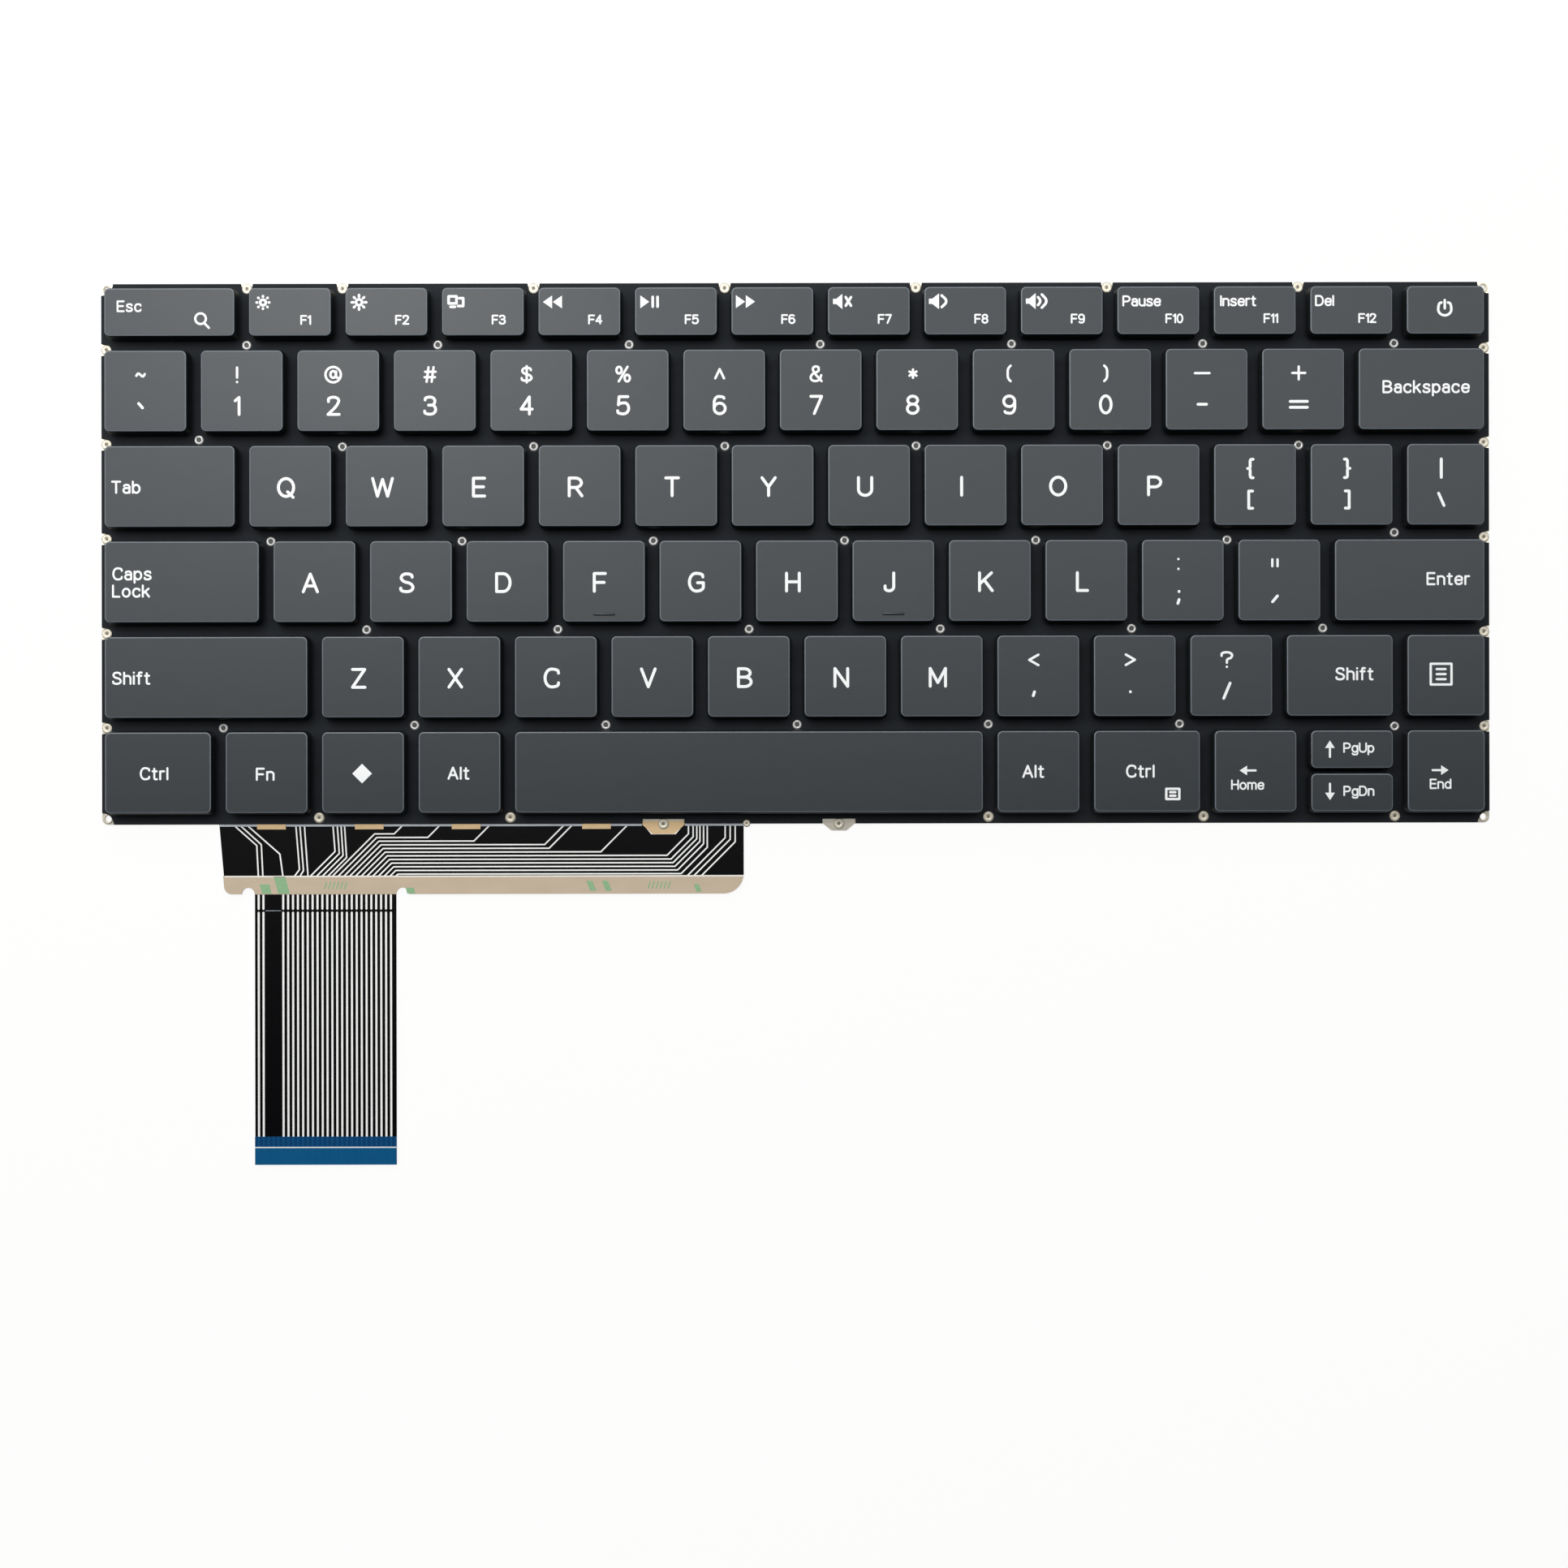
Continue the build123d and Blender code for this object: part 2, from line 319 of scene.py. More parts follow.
LINER_PAPER = Finish(
    "liner_paper",
    (199, 182, 160),
    (186, 169, 146),
    0.75,
    0.15,
    specular=0.25,
    grain=(0.5, 0.14, 0.2),
    relief=0.02,
)
LINER_PRINT = Finish(
    "liner_print", (126, 168, 124), (148, 184, 144), 0.7, specular=0.25, mottle=(0.6, 0.6, 1.0)
)
# Painted highlight: a pale line along the liner's back edge.
LINER_RIM_HIGHLIGHT = Finish(
    "liner_rim", (240, 237, 230), (226, 220, 208), 0.7, specular=0.25, mottle=(1.5, 0.4, 1.0)
)
PLATE_METAL = Finish(
    "plate_metal",
    (226, 221, 208),
    (204, 198, 182),
    0.36,
    0.22,
    0.85,
    grain=(2.4, 0.1, 0.2),
    mottle=(12.0, 5.0, 5.0),
)
EYELET_METAL = Finish(
    "eyelet_metal", (236, 236, 234), (192, 192, 190), 0.3, 0.2, 0.3, mottle=(0.5, 0.5, 0.5)
)
# Painted shade: the dark floor of the metal eyelets' bores and the dark ring round their feet.
EYELET_BORE_SHADE = Finish("eyelet_bore", (88, 88, 86), (44, 43, 42), mottle=(0.3, 0.3, 0.3))
EYELET_CREAM = Finish(
    "eyelet_cream", (240, 234, 216), (212, 203, 182), 0.36, 0.2, 0.2, mottle=(0.6, 0.6, 0.6)
)
# Painted shade: the darker floor of the cream eyelets' dents and the dark ring round their feet.
EYELET_DENT_SHADE = Finish("eyelet_dent", (150, 142, 124), (98, 90, 76), mottle=(0.3, 0.3, 0.3))
PAD_TAN = Finish("pad_tan", (234, 205, 158), (212, 180, 132), 0.4, 0.2, 0.15, mottle=(2.0, 0.8, 1.0))
LEVER_PLASTIC = Finish("lever_plastic", (44, 46, 48), (36, 38, 40), 0.45)
DOME_RUBBER = Finish("dome_rubber", (150, 152, 152), (132, 134, 134), 0.6)
WIRE_STEEL = Finish(
    "wire_steel", (196, 196, 194), (160, 160, 158), 0.3, 0.2, 1.0, grain=(0.6, 0.1, 0.1)
)


# Surfaces


@dataclass
class Surface:
    """Faces over points in millimetres, each with the number of its finish."""

    points: np.ndarray
    corners: np.ndarray
    counts: np.ndarray
    finishes: np.ndarray

    @classmethod
    def grid(
        cls, points: np.ndarray, wrap_rows: bool = False, wrap_columns: bool = False, finish: int = 0
    ) -> "Surface":
        """Lays one face in each cell of a grid of points.

        A face looks along its column direction crossed with its row direction.

        Args:
            points: Points as rows by columns by three.
            wrap_rows: Whether the last row joins the first.
            wrap_columns: Whether the last column joins the first.
            finish: The number of the faces' finish.

        Returns:
            The surface.
        """
        rows, columns = points.shape[:2]
        index = np.arange(rows * columns).reshape(rows, columns)
        index = np.vstack([index, index[:1]]) if wrap_rows else index
        index = np.hstack([index, index[:, :1]]) if wrap_columns else index
        around = [index[:-1, :-1], index[:-1, 1:], index[1:, 1:], index[1:, :-1]]
        cells = np.stack(around, axis=-1).reshape(-1, 4)
        counts, finishes = np.full(len(cells), 4), np.full(len(cells), finish)
        return cls(points.reshape(-1, 3), cells.ravel(), counts, finishes)

    @classmethod
    def polygons(cls, points: np.ndarray, finish: int = 0) -> "Surface":
        """Makes one flat face of each row of points.

        Args:
            points: Points as faces by corners by three, anticlockwise from the side that they face.
            finish: The number of the faces' finish.

        Returns:
            The surface.
        """
        faces, corners = points.shape[:2]
        index = np.arange(faces * corners)
        return cls(points.reshape(-1, 3), index, np.full(faces, corners), np.full(faces, finish))

    @classmethod
    def join(cls, parts: list["Surface"]) -> "Surface":
        """Puts surfaces together as one.

        Args:
            parts: The surfaces.

        Returns:
            The joined surface, its points in the same order.
        """
        starts = np.cumsum([0, *[len(part.points) for part in parts[:-1]]])
        return cls(
            np.vstack([part.points for part in parts]),
            np.concatenate([part.corners + start for part, start in zip(parts, starts)]),
            np.concatenate([part.counts for part in parts]),
            np.concatenate([part.finishes for part in parts]),
        )

    @classmethod
    def tube(cls, rings: np.ndarray, finish: int = 0) -> "Surface":
        """Skins a stack of rings, and closes it with its first and its last ring.

        Args:
            rings: Points as rings by points by three, anticlockwise from the last ring's side.
            finish: The number of the faces' finish.

        Returns:
            The closed surface.
        """
        ends = [cls.polygons(rings[:1, ::-1], finish), cls.polygons(rings[-1:], finish)]
        return cls.join([cls.grid(rings, wrap_columns=True, finish=finish), *ends])

    @classmethod
    def prism(cls, outline: np.ndarray, low: float, high: float) -> "Surface":
        """A closed sheet between two heights, from an outline that runs anticlockwise from above."""
        return cls.tube(np.stack([at_height(outline, low), at_height(outline, high)]))

    def painted(self, finish: int) -> "Surface":
        """The same surface in another finish."""
        return Surface(self.points, self.corners, self.counts, np.full(len(self.counts), finish))

    def moved(self, x: float, y: float, z: float) -> "Surface":
        """The same surface in another place."""
        return Surface(self.points + (x, y, z), self.corners, self.counts, self.finishes)

    def piece(
        self, name: str, body: str, slot: str, finishes: Sequence[Finish], nodes: tuple[str, ...]
    ) -> bpy.types.Object:
        """Writes the surface as a piece that rides on a body.

        Args:
            name: The piece's name.
            body: The body that carries it.
            slot: The record's material slot; not used.
            finishes: The finishes that its faces number.
            nodes: The CAD nodes that it stands for.

        Returns:
            The piece, at the origin with its place in its mesh.
        """
        mesh = bpy.data.meshes.new(name)
        mesh.vertices.add(len(self.points))
        mesh.vertices.foreach_set("co", (self.points * MM).astype(np.float32).ravel())
        mesh.loops.add(len(self.corners))
        mesh.loops.foreach_set("vertex_index", self.corners.astype(np.int32))
        mesh.polygons.add(len(self.counts))
        starts = np.cumsum(self.counts) - self.counts
        mesh.polygons.foreach_set("loop_start", starts.astype(np.int32))
        mesh.polygons.foreach_set("material_index", self.finishes.astype(np.int32))
        mesh.update(calc_edges=True)
        mesh.polygons.foreach_set("use_smooth", np.ones(len(self.counts), bool))
        mesh.set_sharp_from_angle(angle=SHARP_ANGLE)
        for finish in finishes:
            mesh.materials.append(material_of(finish))
        obj = linked(name, mesh)
        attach(obj, body)
        if nodes:
            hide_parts(*nodes)
        log.info("%s: %d faces on %s", name, len(self.counts), body)
        return obj


def linked(name: str, data: bpy.types.ID) -> bpy.types.Object:
    """Adds an object to the scene.

    Args:
        name: The object's name.
        data: Its mesh, light or camera.

    Returns:
        The object, at the origin.
    """
    obj = bpy.data.objects.new(name, data)
    bpy.context.scene.collection.objects.link(obj)
    return obj


def at_height(outline: np.ndarray, z: float) -> np.ndarray:
    """Flat points lifted to a height."""
    return np.concatenate([outline, np.full((*outline.shape[:-1], 1), z)], axis=-1)


def paired(x: np.ndarray | float, y: np.ndarray | float) -> np.ndarray:
    """Places by two, from their X and Y or from one of these that they all share."""
    return np.stack(np.broadcast_arrays(x, y), axis=-1)


def rectangle(left: float, front: float, right: float, back: float) -> np.ndarray:
    """A rectangle's four corners by two, anticlockwise."""
    return np.array([[left, front], [right, front], [right, back], [left, back]])


def arc(x: float, y: float, radius: float, start: float, end: float, points: int = 9) -> np.ndarray:
    """Points by two round a centre: the radius along each angle from a start to an end in radians."""
    angles = np.linspace(start, end, points)
    return paired(x + radius * np.cos(angles), y + radius * np.sin(angles))


def rounded_rings(
    half_x: np.ndarray, half_y: np.ndarray, radius: np.ndarray, z: np.ndarray, points: int = 6
) -> np.ndarray:
    """Stacks rectangles with round corners: a quarter circle about each of the four corner centres.

    Args:
        half_x: Half of each ring's width.
        half_y: Half of each ring's depth.
        radius: Each ring's corner radius.
        z: Each ring's height.
        points: How many points each corner has.

    Returns:
        Rings by points by three, anticlockwise from above.
    """
    turns = np.linspace(0, pi / 2, points) + np.arange(4)[:, None] * pi / 2
    signs_x, signs_y = np.array([1, -1, -1, 1])[:, None], np.array([1, 1, -1, -1])[:, None]
    r = radius[:, None, None]
    x = signs_x * (half_x[:, None, None] - r) + r * np.cos(turns)
    y = signs_y * (half_y[:, None, None] - r) + r * np.sin(turns)
    heights = np.broadcast_to(z[:, None, None], x.shape)
    return np.stack([x, y, heights], axis=-1).reshape(len(z), -1, 3)


def revolved(radius: np.ndarray, z: np.ndarray, points: int) -> np.ndarray:
    """Turns a profile of radii and heights about the vertical.

    Args:
        radius: The profile's distances from the axis.
        z: The profile's heights.
        points: How many points go round.

    Returns:
        Profile points by points round by three, anticlockwise from above.
    """
    turns = np.arange(points) * 2 * pi / points
    x, y = radius[:, None] * np.cos(turns), radius[:, None] * np.sin(turns)
    return np.stack([x, y, np.broadcast_to(z[:, None], x.shape)], axis=-1)


def swept(path: np.ndarray, section: np.ndarray, closed: bool) -> np.ndarray:
    """Carries a flat section along a path: each section point goes sideways and upwards from the path.

    Args:
        path: Points by three along the path.
        section: Points by two, sideways to the left and upwards.
        closed: Whether the path returns to its start.

    Returns:
        Path points by section points by three.
    """
    ahead = np.roll(path, -1, axis=0) - path
    behind = path - np.roll(path, 1, axis=0)
    if not closed:
        ahead[-1], behind[0] = behind[-1], ahead[0]
    ahead /= np.linalg.norm(ahead, axis=1, keepdims=True)
    behind /= np.linalg.norm(behind, axis=1, keepdims=True)
    along = ahead + behind
    along /= np.linalg.norm(along, axis=1, keepdims=True)
    left = np.cross((0.0, 0.0, 1.0), along)
    left /= np.linalg.norm(left, axis=1, keepdims=True)
    up = np.cross(along, left)
    stretch = 1 / np.maximum(np.sum(along * ahead, axis=1), LEAST_MITRE)
    sideways = section[None, :, :1] * (left * stretch[:, None])[:, None]
    return path[:, None] + sideways + section[None, :, 1:] * up[:, None]


def capsules(starts: np.ndarray, ends: np.ndarray, width: float, z: float, points: int = 5) -> Surface:
    """Draws straight strokes with round ends: half a circle about each end, on four layers in turn.

    Args:
        starts: First ends as strokes by two.
        ends: Second ends as strokes by two.
        width: The strokes' width.
        z: Their height.
        points: How many points each round end has.

    Returns:
        One flat face for each stroke.
    """
    heading = np.arctan2(ends[:, 1] - starts[:, 1], ends[:, 0] - starts[:, 0])[:, None]
    half = heading + np.linspace(-pi / 2, pi / 2, points)
    spoke = width / 2 * np.stack([np.cos(half), np.sin(half)], axis=-1)
    outline = np.concatenate([ends[:, None] + spoke, starts[:, None] - spoke], axis=1)
    surface = Surface.polygons(at_height(outline, z))
    surface.points[:, 2] += np.repeat(np.arange(len(starts)) % STROKE_LAYERS, 2 * points) * LAYER
    return surface


# Legends


class Icon(Enum):
    """Signs printed on caps, written as strokes in the same way as letters."""

    MAGNIFIER = "o 0,2 0,7 5,7 5,2; l 4.1,2.6 6.4,0.2"
    SUN_LOW = (
        "o 2,2 2,5 5,5 5,2; l 3.5,6.6 3.5,6.9; l 3.5,0.1 3.5,0.4; l 0.1,3.5 0.4,3.5; l 6.6,3.5 6.9,3.5;"
        "l 5.8,5.8 6,6; l 1.2,5.8 1,6; l 5.8,1.2 6,1; l 1.2,1.2 1,1"
    )
    SUN_HIGH = (
        "o 1.9,1.9 1.9,5.1 5.1,5.1 5.1,1.9; l 3.5,6.5 3.5,7.4; l 3.5,-0.4 3.5,0.5; l -0.4,3.5 0.5,3.5;"
        "l 6.5,3.5 7.4,3.5; l 5.7,5.7 6.2,6.2; l 1.3,5.7 0.8,6.2; l 5.7,1.3 6.2,0.8; l 1.3,1.3 0.8,0.8"
    )
    DISPLAYS = "l 0,2.8 0,6.6 4.2,6.6 4.2,2.8 0,2.8; l 1,1 3.4,1; l 5.6,5.6 7.8,5.6 7.8,1.4 5,1.4"
    REWIND = "f 4.9,0.1 4.9,6.9 0,3.5; f 10.2,0.1 10.2,6.9 5.3,3.5"
    PLAY_PAUSE = "f 0,0.1 4.7,3.5 0,6.9; l 6.6,0.9 6.6,6.1; l 9.2,0.9 9.2,6.1"
    FORWARD = "f 0,0.1 4.9,3.5 0,6.9; f 5.3,0.1 10.2,3.5 5.3,6.9"
    MUTE = "f 0,2.1 1.8,2.1 5,-0.6 5,7.6 1.8,4.9 0,4.9; l 6.8,1.2 9.6,5.8; l 6.8,5.8 9.6,1.2"
    QUIETER = "f 0,2.1 1.8,2.1 5.4,-0.7 5.4,7.7 1.8,4.9 0,4.9; c 6.8,0.4 10.2,3.5 6.8,6.6"
    LOUDER = (
        "f 0,2.1 1.8,2.1 5.2,-0.8 5.2,7.8 1.8,4.9 0,4.9;"
        "c 6.5,1.4 8.1,3.5 6.5,5.6; c 8.5,0 11.9,3.5 8.5,7"
    )
    POWER = "c 1.5,5.9 0,5.4 0,0 6,0 6,5.4 4.5,5.9; l 3,3.2 3,7"
    MENU = "l 0,0 0,7 7,7 7,0 0,0; l 2,5.2 5,5.2; l 2,3.5 5,3.5; l 2,1.8 5,1.8"
    DIAMOND = "f 3.5,-0.3 7.3,3.5 3.5,7.3 -0.3,3.5"
    PANEL = "l 0,0.6 0,6.4 7.4,6.4 7.4,0.6 0,0.6; l 2.2,4.5 5.2,4.5; l 2.2,2.5 5.2,2.5"
    LEFT = "l 8.6,3.5 3,3.5; f 0,3.5 4,0.9 4,6.1"
    RIGHT = "l 0,3.5 5.6,3.5; f 8.6,3.5 4.6,6.1 4.6,0.9"
    UP = "l 2.6,-0.9 2.6,5; f 2.6,7.9 0,3.9 5.2,3.9"
    DOWN = "l 2.6,7.9 2.6,2; f 2.6,-0.9 5.2,3.1 0,3.1"


GLYPHS: dict[str, str] = {
    "A": "l 0,0 2.8,7 5.6,0; l 1,2.3 4.6,2.3",
    "B": "l 0,0 0,7; c 0,7 4.6,7 4.6,3.7 0,3.7; c 0,3.7 5,3.7 5,0 0,0",
    "C": "c 5.3,5.4 5,7 0,7 0,0 5,0 5.3,1.6",
    "D": "l 0,0 0,7; c 0,7 5.3,7 5.3,0 0,0",
    "E": "l 4.4,7 0,7 0,0 4.4,0; l 0,3.6 4,3.6",
    "F": "l 4.4,7 0,7 0,0; l 0,3.5 3.9,3.5",
    "G": "c 5.3,5.6 5,7 0,7 0,0 5.5,0 5.5,3.3; l 5.5,3.3 3.2,3.3",
    "H": "l 0,0 0,7; l 5,0 5,7; l 0,3.6 5,3.6",
    "I": "l 0,0 0,7",
    "J": "c 3.4,7 3.4,3.4 3.4,0 0,0 0,1.9",
    "K": "l 0,0 0,7; l 4.7,7 0,2.6; l 1.8,4.2 5,0",
    "L": "l 0,7 0,0 4,0",
    "M": "l 0,0 0,7 3,1.4 6,7 6,0",
    "N": "l 0,0 0,7 5,0 5,7",
    "O": "o 0,0 0,7 6,7 6,0",
    "P": "l 0,0 0,7; c 0,7 4.8,7 4.8,3.1 0,3.1",
    "Q": "o 0,0 0,7 6,7 6,0; l 3.6,1.8 5.8,-0.4",
    "R": "l 0,0 0,7; c 0,7 4.8,7 4.8,3.3 0,3.3; l 2.6,3.3 5,0",
    "S": "c 4.5,5.7 4.2,7 0.2,7 0.2,3.9 4.8,3.3 4.8,0 0.2,0 0,1.4",
    "T": "l 0,7 5,7; l 2.5,7 2.5,0",
    "U": "c 0,7 0,4.6 0,0 5.2,0 5.2,4.6 5.2,7",
    "V": "l 0,7 2.7,0 5.4,7",
    "W": "l 0,7 1.9,0 3.9,6.6 5.9,0 7.8,7",
    "X": "l 0,0 5,7; l 0,7 5,0",
    "Y": "l 0,7 2.6,3.4 5.2,7; l 2.6,3.4 2.6,0",
    "Z": "l 0,7 4.8,7 0,0 4.9,0",
    "0": "o 0,0 0,7 4.4,7 4.4,0",
    "1": "l 0,5.6 1.6,7 1.6,0",
    "2": "c 0.2,5.2 0.2,7 4.4,7 4.4,4.2 0,0; l 0,0 4.6,0",
    "3": "c 0.2,5.8 0.4,7 4.2,7 4.2,3.7 1.6,3.7; c 1.6,3.7 4.5,3.7 4.5,0 0.2,0 0,1.3",
    "4": "l 3.4,0 3.4,7 0,2 4.6,2",
    "5": "l 4.2,7 0.6,7 0.3,3.7; c 0.3,3.7 1.2,4.5 4.5,4.5 4.5,0 0.2,0 0,1.3",
    "6": "c 4,6.3 3.6,7 0,7 0,2.1; o 0,0 0,4.3 4.5,4.3 4.5,0",
    "7": "l 0,7 4.4,7 1.4,0",
    "8": "o 0.2,3.7 0.2,7 4.2,7 4.2,3.7; o 0,0 0,3.8 4.4,3.8 4.4,0",
    "9": "c 0.5,0.7 0.9,0 4.5,0 4.5,4.9; o 0,2.7 0,7 4.5,7 4.5,2.7",
    "a": "c 0.4,4.1 0.7,5 3.8,5 3.8,2 3.8,0; c 3.8,2.9 0,3.1 0,0 3.4,-0.1 3.8,1.6",
    "b": "l 0,7 0,0; o 0,0 0,5 4.2,5 4.2,0",
    "c": "c 4,3.9 3.8,5 0,5 0,0 3.8,0 4,1.1",
    "d": "l 4.2,7 4.2,0; o 0,0 0,5 4.2,5 4.2,0",
    "e": "l 0.1,2.6 4.2,2.6; c 4.2,2.6 4.2,5 0,5 0,0 3.6,0 4.1,1.1",
    "f": "c 2.8,7 1.1,7.2 1.1,5.5 1.1,0; l 0,5 2.6,5",
    "g": "o 0,0 0,5 4.2,5 4.2,0; c 4.2,5 4.2,0 4.2,-2 2.1,-2 0.6,-2 0.2,-1.2",
    "h": "l 0,7 0,0; c 0,3 0,5 4,5 4,1.8 4,0",
    "i": "l 0,0 0,5; l 0,6.9 0,7",
    "k": "l 0,7 0,0; l 3.6,5 0,2; l 1.4,3.2 3.9,0",
    "l": "l 0,0 0,7",
    "m": "l 0,0 0,5; c 0,3.2 0,5 3.2,5 3.2,1.8 3.2,0; c 3.2,3.2 3.2,5 6.4,5 6.4,1.8 6.4,0",
    "n": "l 0,0 0,5; c 0,3 0,5 4,5 4,1.8 4,0",
    "o": "o 0,0 0,5 4.4,5 4.4,0",
    "p": "l 0,5 0,-2; o 0,0 0,5 4.2,5 4.2,0",
    "r": "l 0,0 0,5; c 0,3 0.2,5 2.4,5",
    "s": "c 3.6,4.1 3.4,5 0.2,5 0.2,2.8 3.8,2.3 3.8,0 0.2,0 0,1",
    "t": "c 1.1,6.6 1.1,1.5 1.1,0 2.7,0; l 0,5 2.6,5",
    "u": "c 0,5 0,3.6 0,0 4,0 4,2; l 4,5 4,0",
    "!": "l 0,2.2 0,7; l 0,0 0,0.1",
    "@": "o -0.4,-0.2 -0.4,7.2 7,7.2 7,-0.2; o 2,2 2,5.2 4.6,5.2 4.6,2; l 4.7,5 4.7,2.2 5.8,1.9",
    "#": "l 1,0 1.9,7; l 3.4,0 4.3,7; l 0,2.2 5,2.2; l 0.3,4.8 5.3,4.8",
    "$": "c 4.4,5.5 4.1,6.6 0.3,6.6 0.3,3.8 4.7,3.2 4.7,0.4 0.2,0.4 0,1.7; l 2.4,-0.4 2.4,7.4",
    "%": "o 0,3.8 0,7 2.5,7 2.5,3.8; o 3.9,0 3.9,3.2 6.4,3.2 6.4,0; l 1.1,0 5.3,7",
    "^": "l 0,1.4 2.1,5.8 4.2,1.4",
    "&": "c 5.2,0 1,4.6 1,7 3.8,7 3.8,5.6; c 3.8,5.8 3.8,4.5 0,3.4 0,0 4.2,0 5,2.8",
    "*": "l 2,5.5 2,1.5; l 0.3,4.5 3.7,2.5; l 3.7,4.5 0.3,2.5",
    "(": "c 1.4,7.2 0,5.8 0,3.5 0,1.2 1.4,-0.2",
    ")": "c 0,7.2 1.4,5.8 1.4,3.5 1.4,1.2 0,-0.2",
    "-": "l 0,3.5 3.5,3.5",
    "_": "l 0,3.5 7,3.5",
    "+": "l 0,3.5 6.2,3.5; l 3.1,0.4 3.1,6.6",
    "=": "l 0,4.6 7,4.6; l 0,2.2 7,2.2",
    "~": "c 0,3.1 0.8,4.5 2,3.5 3.2,2.5 4,3.9",
    "`": "l 0,4.6 1.6,2.8",
    "{": "c 2,7.2 0.8,7.2 0.8,5.4 0.8,3.5 -0.2,3.5; c 2,-0.2 0.8,-0.2 0.8,1.6 0.8,3.5 -0.2,3.5",
    "}": "c 0,7.2 1.2,7.2 1.2,5.4 1.2,3.5 2.2,3.5; c 0,-0.2 1.2,-0.2 1.2,1.6 1.2,3.5 2.2,3.5",
    "[": "l 1.6,7 0,7 0,0 1.6,0",
    "]": "l 0,7 1.6,7 1.6,0 0,0",
    "|": "l 0,0 0,7",
    "\\": "l 0,6 2.2,1",
    ";": "l 0.5,5 0.5,5.1; l 0.5,1.8 0,0.2",
    ":": "l 0,5.9 0,6; l 0,1.2 0,1.3",
    "'": "l 2,3.2 0,0.8",
    '"': "l 0,5.7 0,2.4; l 2.5,5.7 2.5,2.4",
    ",": "l 0.5,3.2 0,1.6",
    ".": "l 0,3.1 0,3.2",
    "<": "l 4.4,6 0,3.5 4.4,1",
    ">": "l 0,6 4.4,3.5 0,1",
    "/": "l 0,0.4 2.6,6.6",
    "?": "c 0,5.3 0,7 5,7 5,4.2 2.5,3.9 2.5,2; l 2.5,0 2.5,0.1",
}


@dataclass(frozen=True)
class Pen:
    """Draws marks as round-ended strokes on a grid that has seven rows from foot to head."""

    height: float
    weight: float
    spacing: float
    rows: float = 7.0
    steps: int = 5
    tip_sides: int = 10

    @staticmethod
    def strokes(code: str) -> list[tuple[str, np.ndarray]]:
        """Reads a mark's strokes: l runs straight, c bends, o bends and closes, f is filled."""
        words = [stroke.split() for stroke in code.split(";")]
        return [(word[0], np.array([point.split(",") for point in word[1:]], float)) for word in words]

    def bent(self, points: np.ndarray, closed: bool) -> np.ndarray:
        """Bends a path: an elliptic arc in each corner, from the middle of one side to the next.

        Args:
            points: The corners as points by two.
            closed: Whether the path returns to its start.

        Returns:
            The points of the bent path.
        """
        ring = np.vstack([points[-1:], points, points[:1]]) if closed else points
        middles = (ring[:-1] + ring[1:]) / 2
        t = np.linspace(0, 1, self.steps, endpoint=False)[None, :, None]
        first, corner, second = middles[:-1, None], ring[1:-1, None], middles[1:, None]
        pull = 2 * cos(pi / 4) * t * (1 - t)
        path = ((1 - t) ** 2 * first + pull * corner + t**2 * second) / ((1 - t) ** 2 + pull + t**2)
        path = path.reshape(-1, 2)
        return path if closed else np.vstack([points[:1], path, middles[-1:], points[-1:]])

    def ribbon(self, path: np.ndarray, closed: bool, width: float, z: float) -> list[Surface]:
        """Carries the stroke's width along a bent path, with a disc on each open end.

        Args:
            path: The path as points by two.
            closed: Whether it returns to its start.
            width: The stroke's width.
            z: Its height.

        Returns:
            The flat surfaces of the stroke.
        """
        section = np.array([[-width / 2, 0.0], [width / 2, 0.0]])
        strip = swept(at_height(path, z), section, closed).transpose(1, 0, 2)
        parts = [Surface.grid(strip, wrap_columns=closed)]
        if not closed:
            last = 2 * pi * (1 - 1 / self.tip_sides)
            tips = [arc(x, y, width / 2, 0, last, self.tip_sides) for x, y in path[[0, -1]]]
            parts.append(Surface.polygons(at_height(np.stack(tips), z - LAYER)))
        return parts

    def mark(self, code: str, x: float, y: float, z: float) -> list[Surface]:
        """Draws one mark with its foot's left end at a place.

        Args:
            code: The mark's strokes.
            x: The place of its left side.
            y: The place of its foot.
            z: Its height.

        Returns:
            The flat surfaces of its strokes.
        """
        unit, width = self.unit(), self.height * self.weight
        parts = []
        for kind, points in self.strokes(code):
            points = points * unit + (x, y)
            layers = 2
            if kind == "l":
                parts.append(capsules(points[:-1], points[1:], width, z))
                layers = min(len(points) - 1, STROKE_LAYERS)
            elif kind == "f":
                turn = np.sum(np.cross(points, np.roll(points, -1, axis=0)))
                parts.append(Surface.polygons(at_height(points[:: 1 if turn > 0 else -1], z)[None]))
            else:
                parts += self.ribbon(self.bent(points, kind == "o"), kind == "o", width, z + LAYER)
            z += layers * LAYER
        return parts

    def unit(self) -> float:
        """The grid's unit, so that the strokes' outer edges are a mark's height apart."""
        return self.height * (1 - self.weight) / self.rows

    def width(self, code: str) -> float:
        """How far a mark reaches to the right, in grid units."""
        return max(points[:, 0].max() for _, points in self.strokes(code))

    def text(self, codes: list[str], x: float, y: float, z: float) -> Surface:
        """Draws marks side by side, centred on a place.

        Args:
            codes: The strokes of each mark.
            x: The middle of the line.
            y: The middle of its height.
            z: Its height above the frame's origin.

        Returns:
            The flat surface of all the strokes.
        """
        advances = np.array([self.width(code) for code in codes]) + self.spacing
        lefts = np.cumsum(advances) - advances - (advances.sum() - self.spacing) / 2
        unit = self.unit()
        foot = y - self.rows / 2 * unit
        marks = [self.mark(code, left, foot, z) for code, left in zip(codes, lefts * unit + x)]
        return Surface.join([part for mark in marks for part in mark])


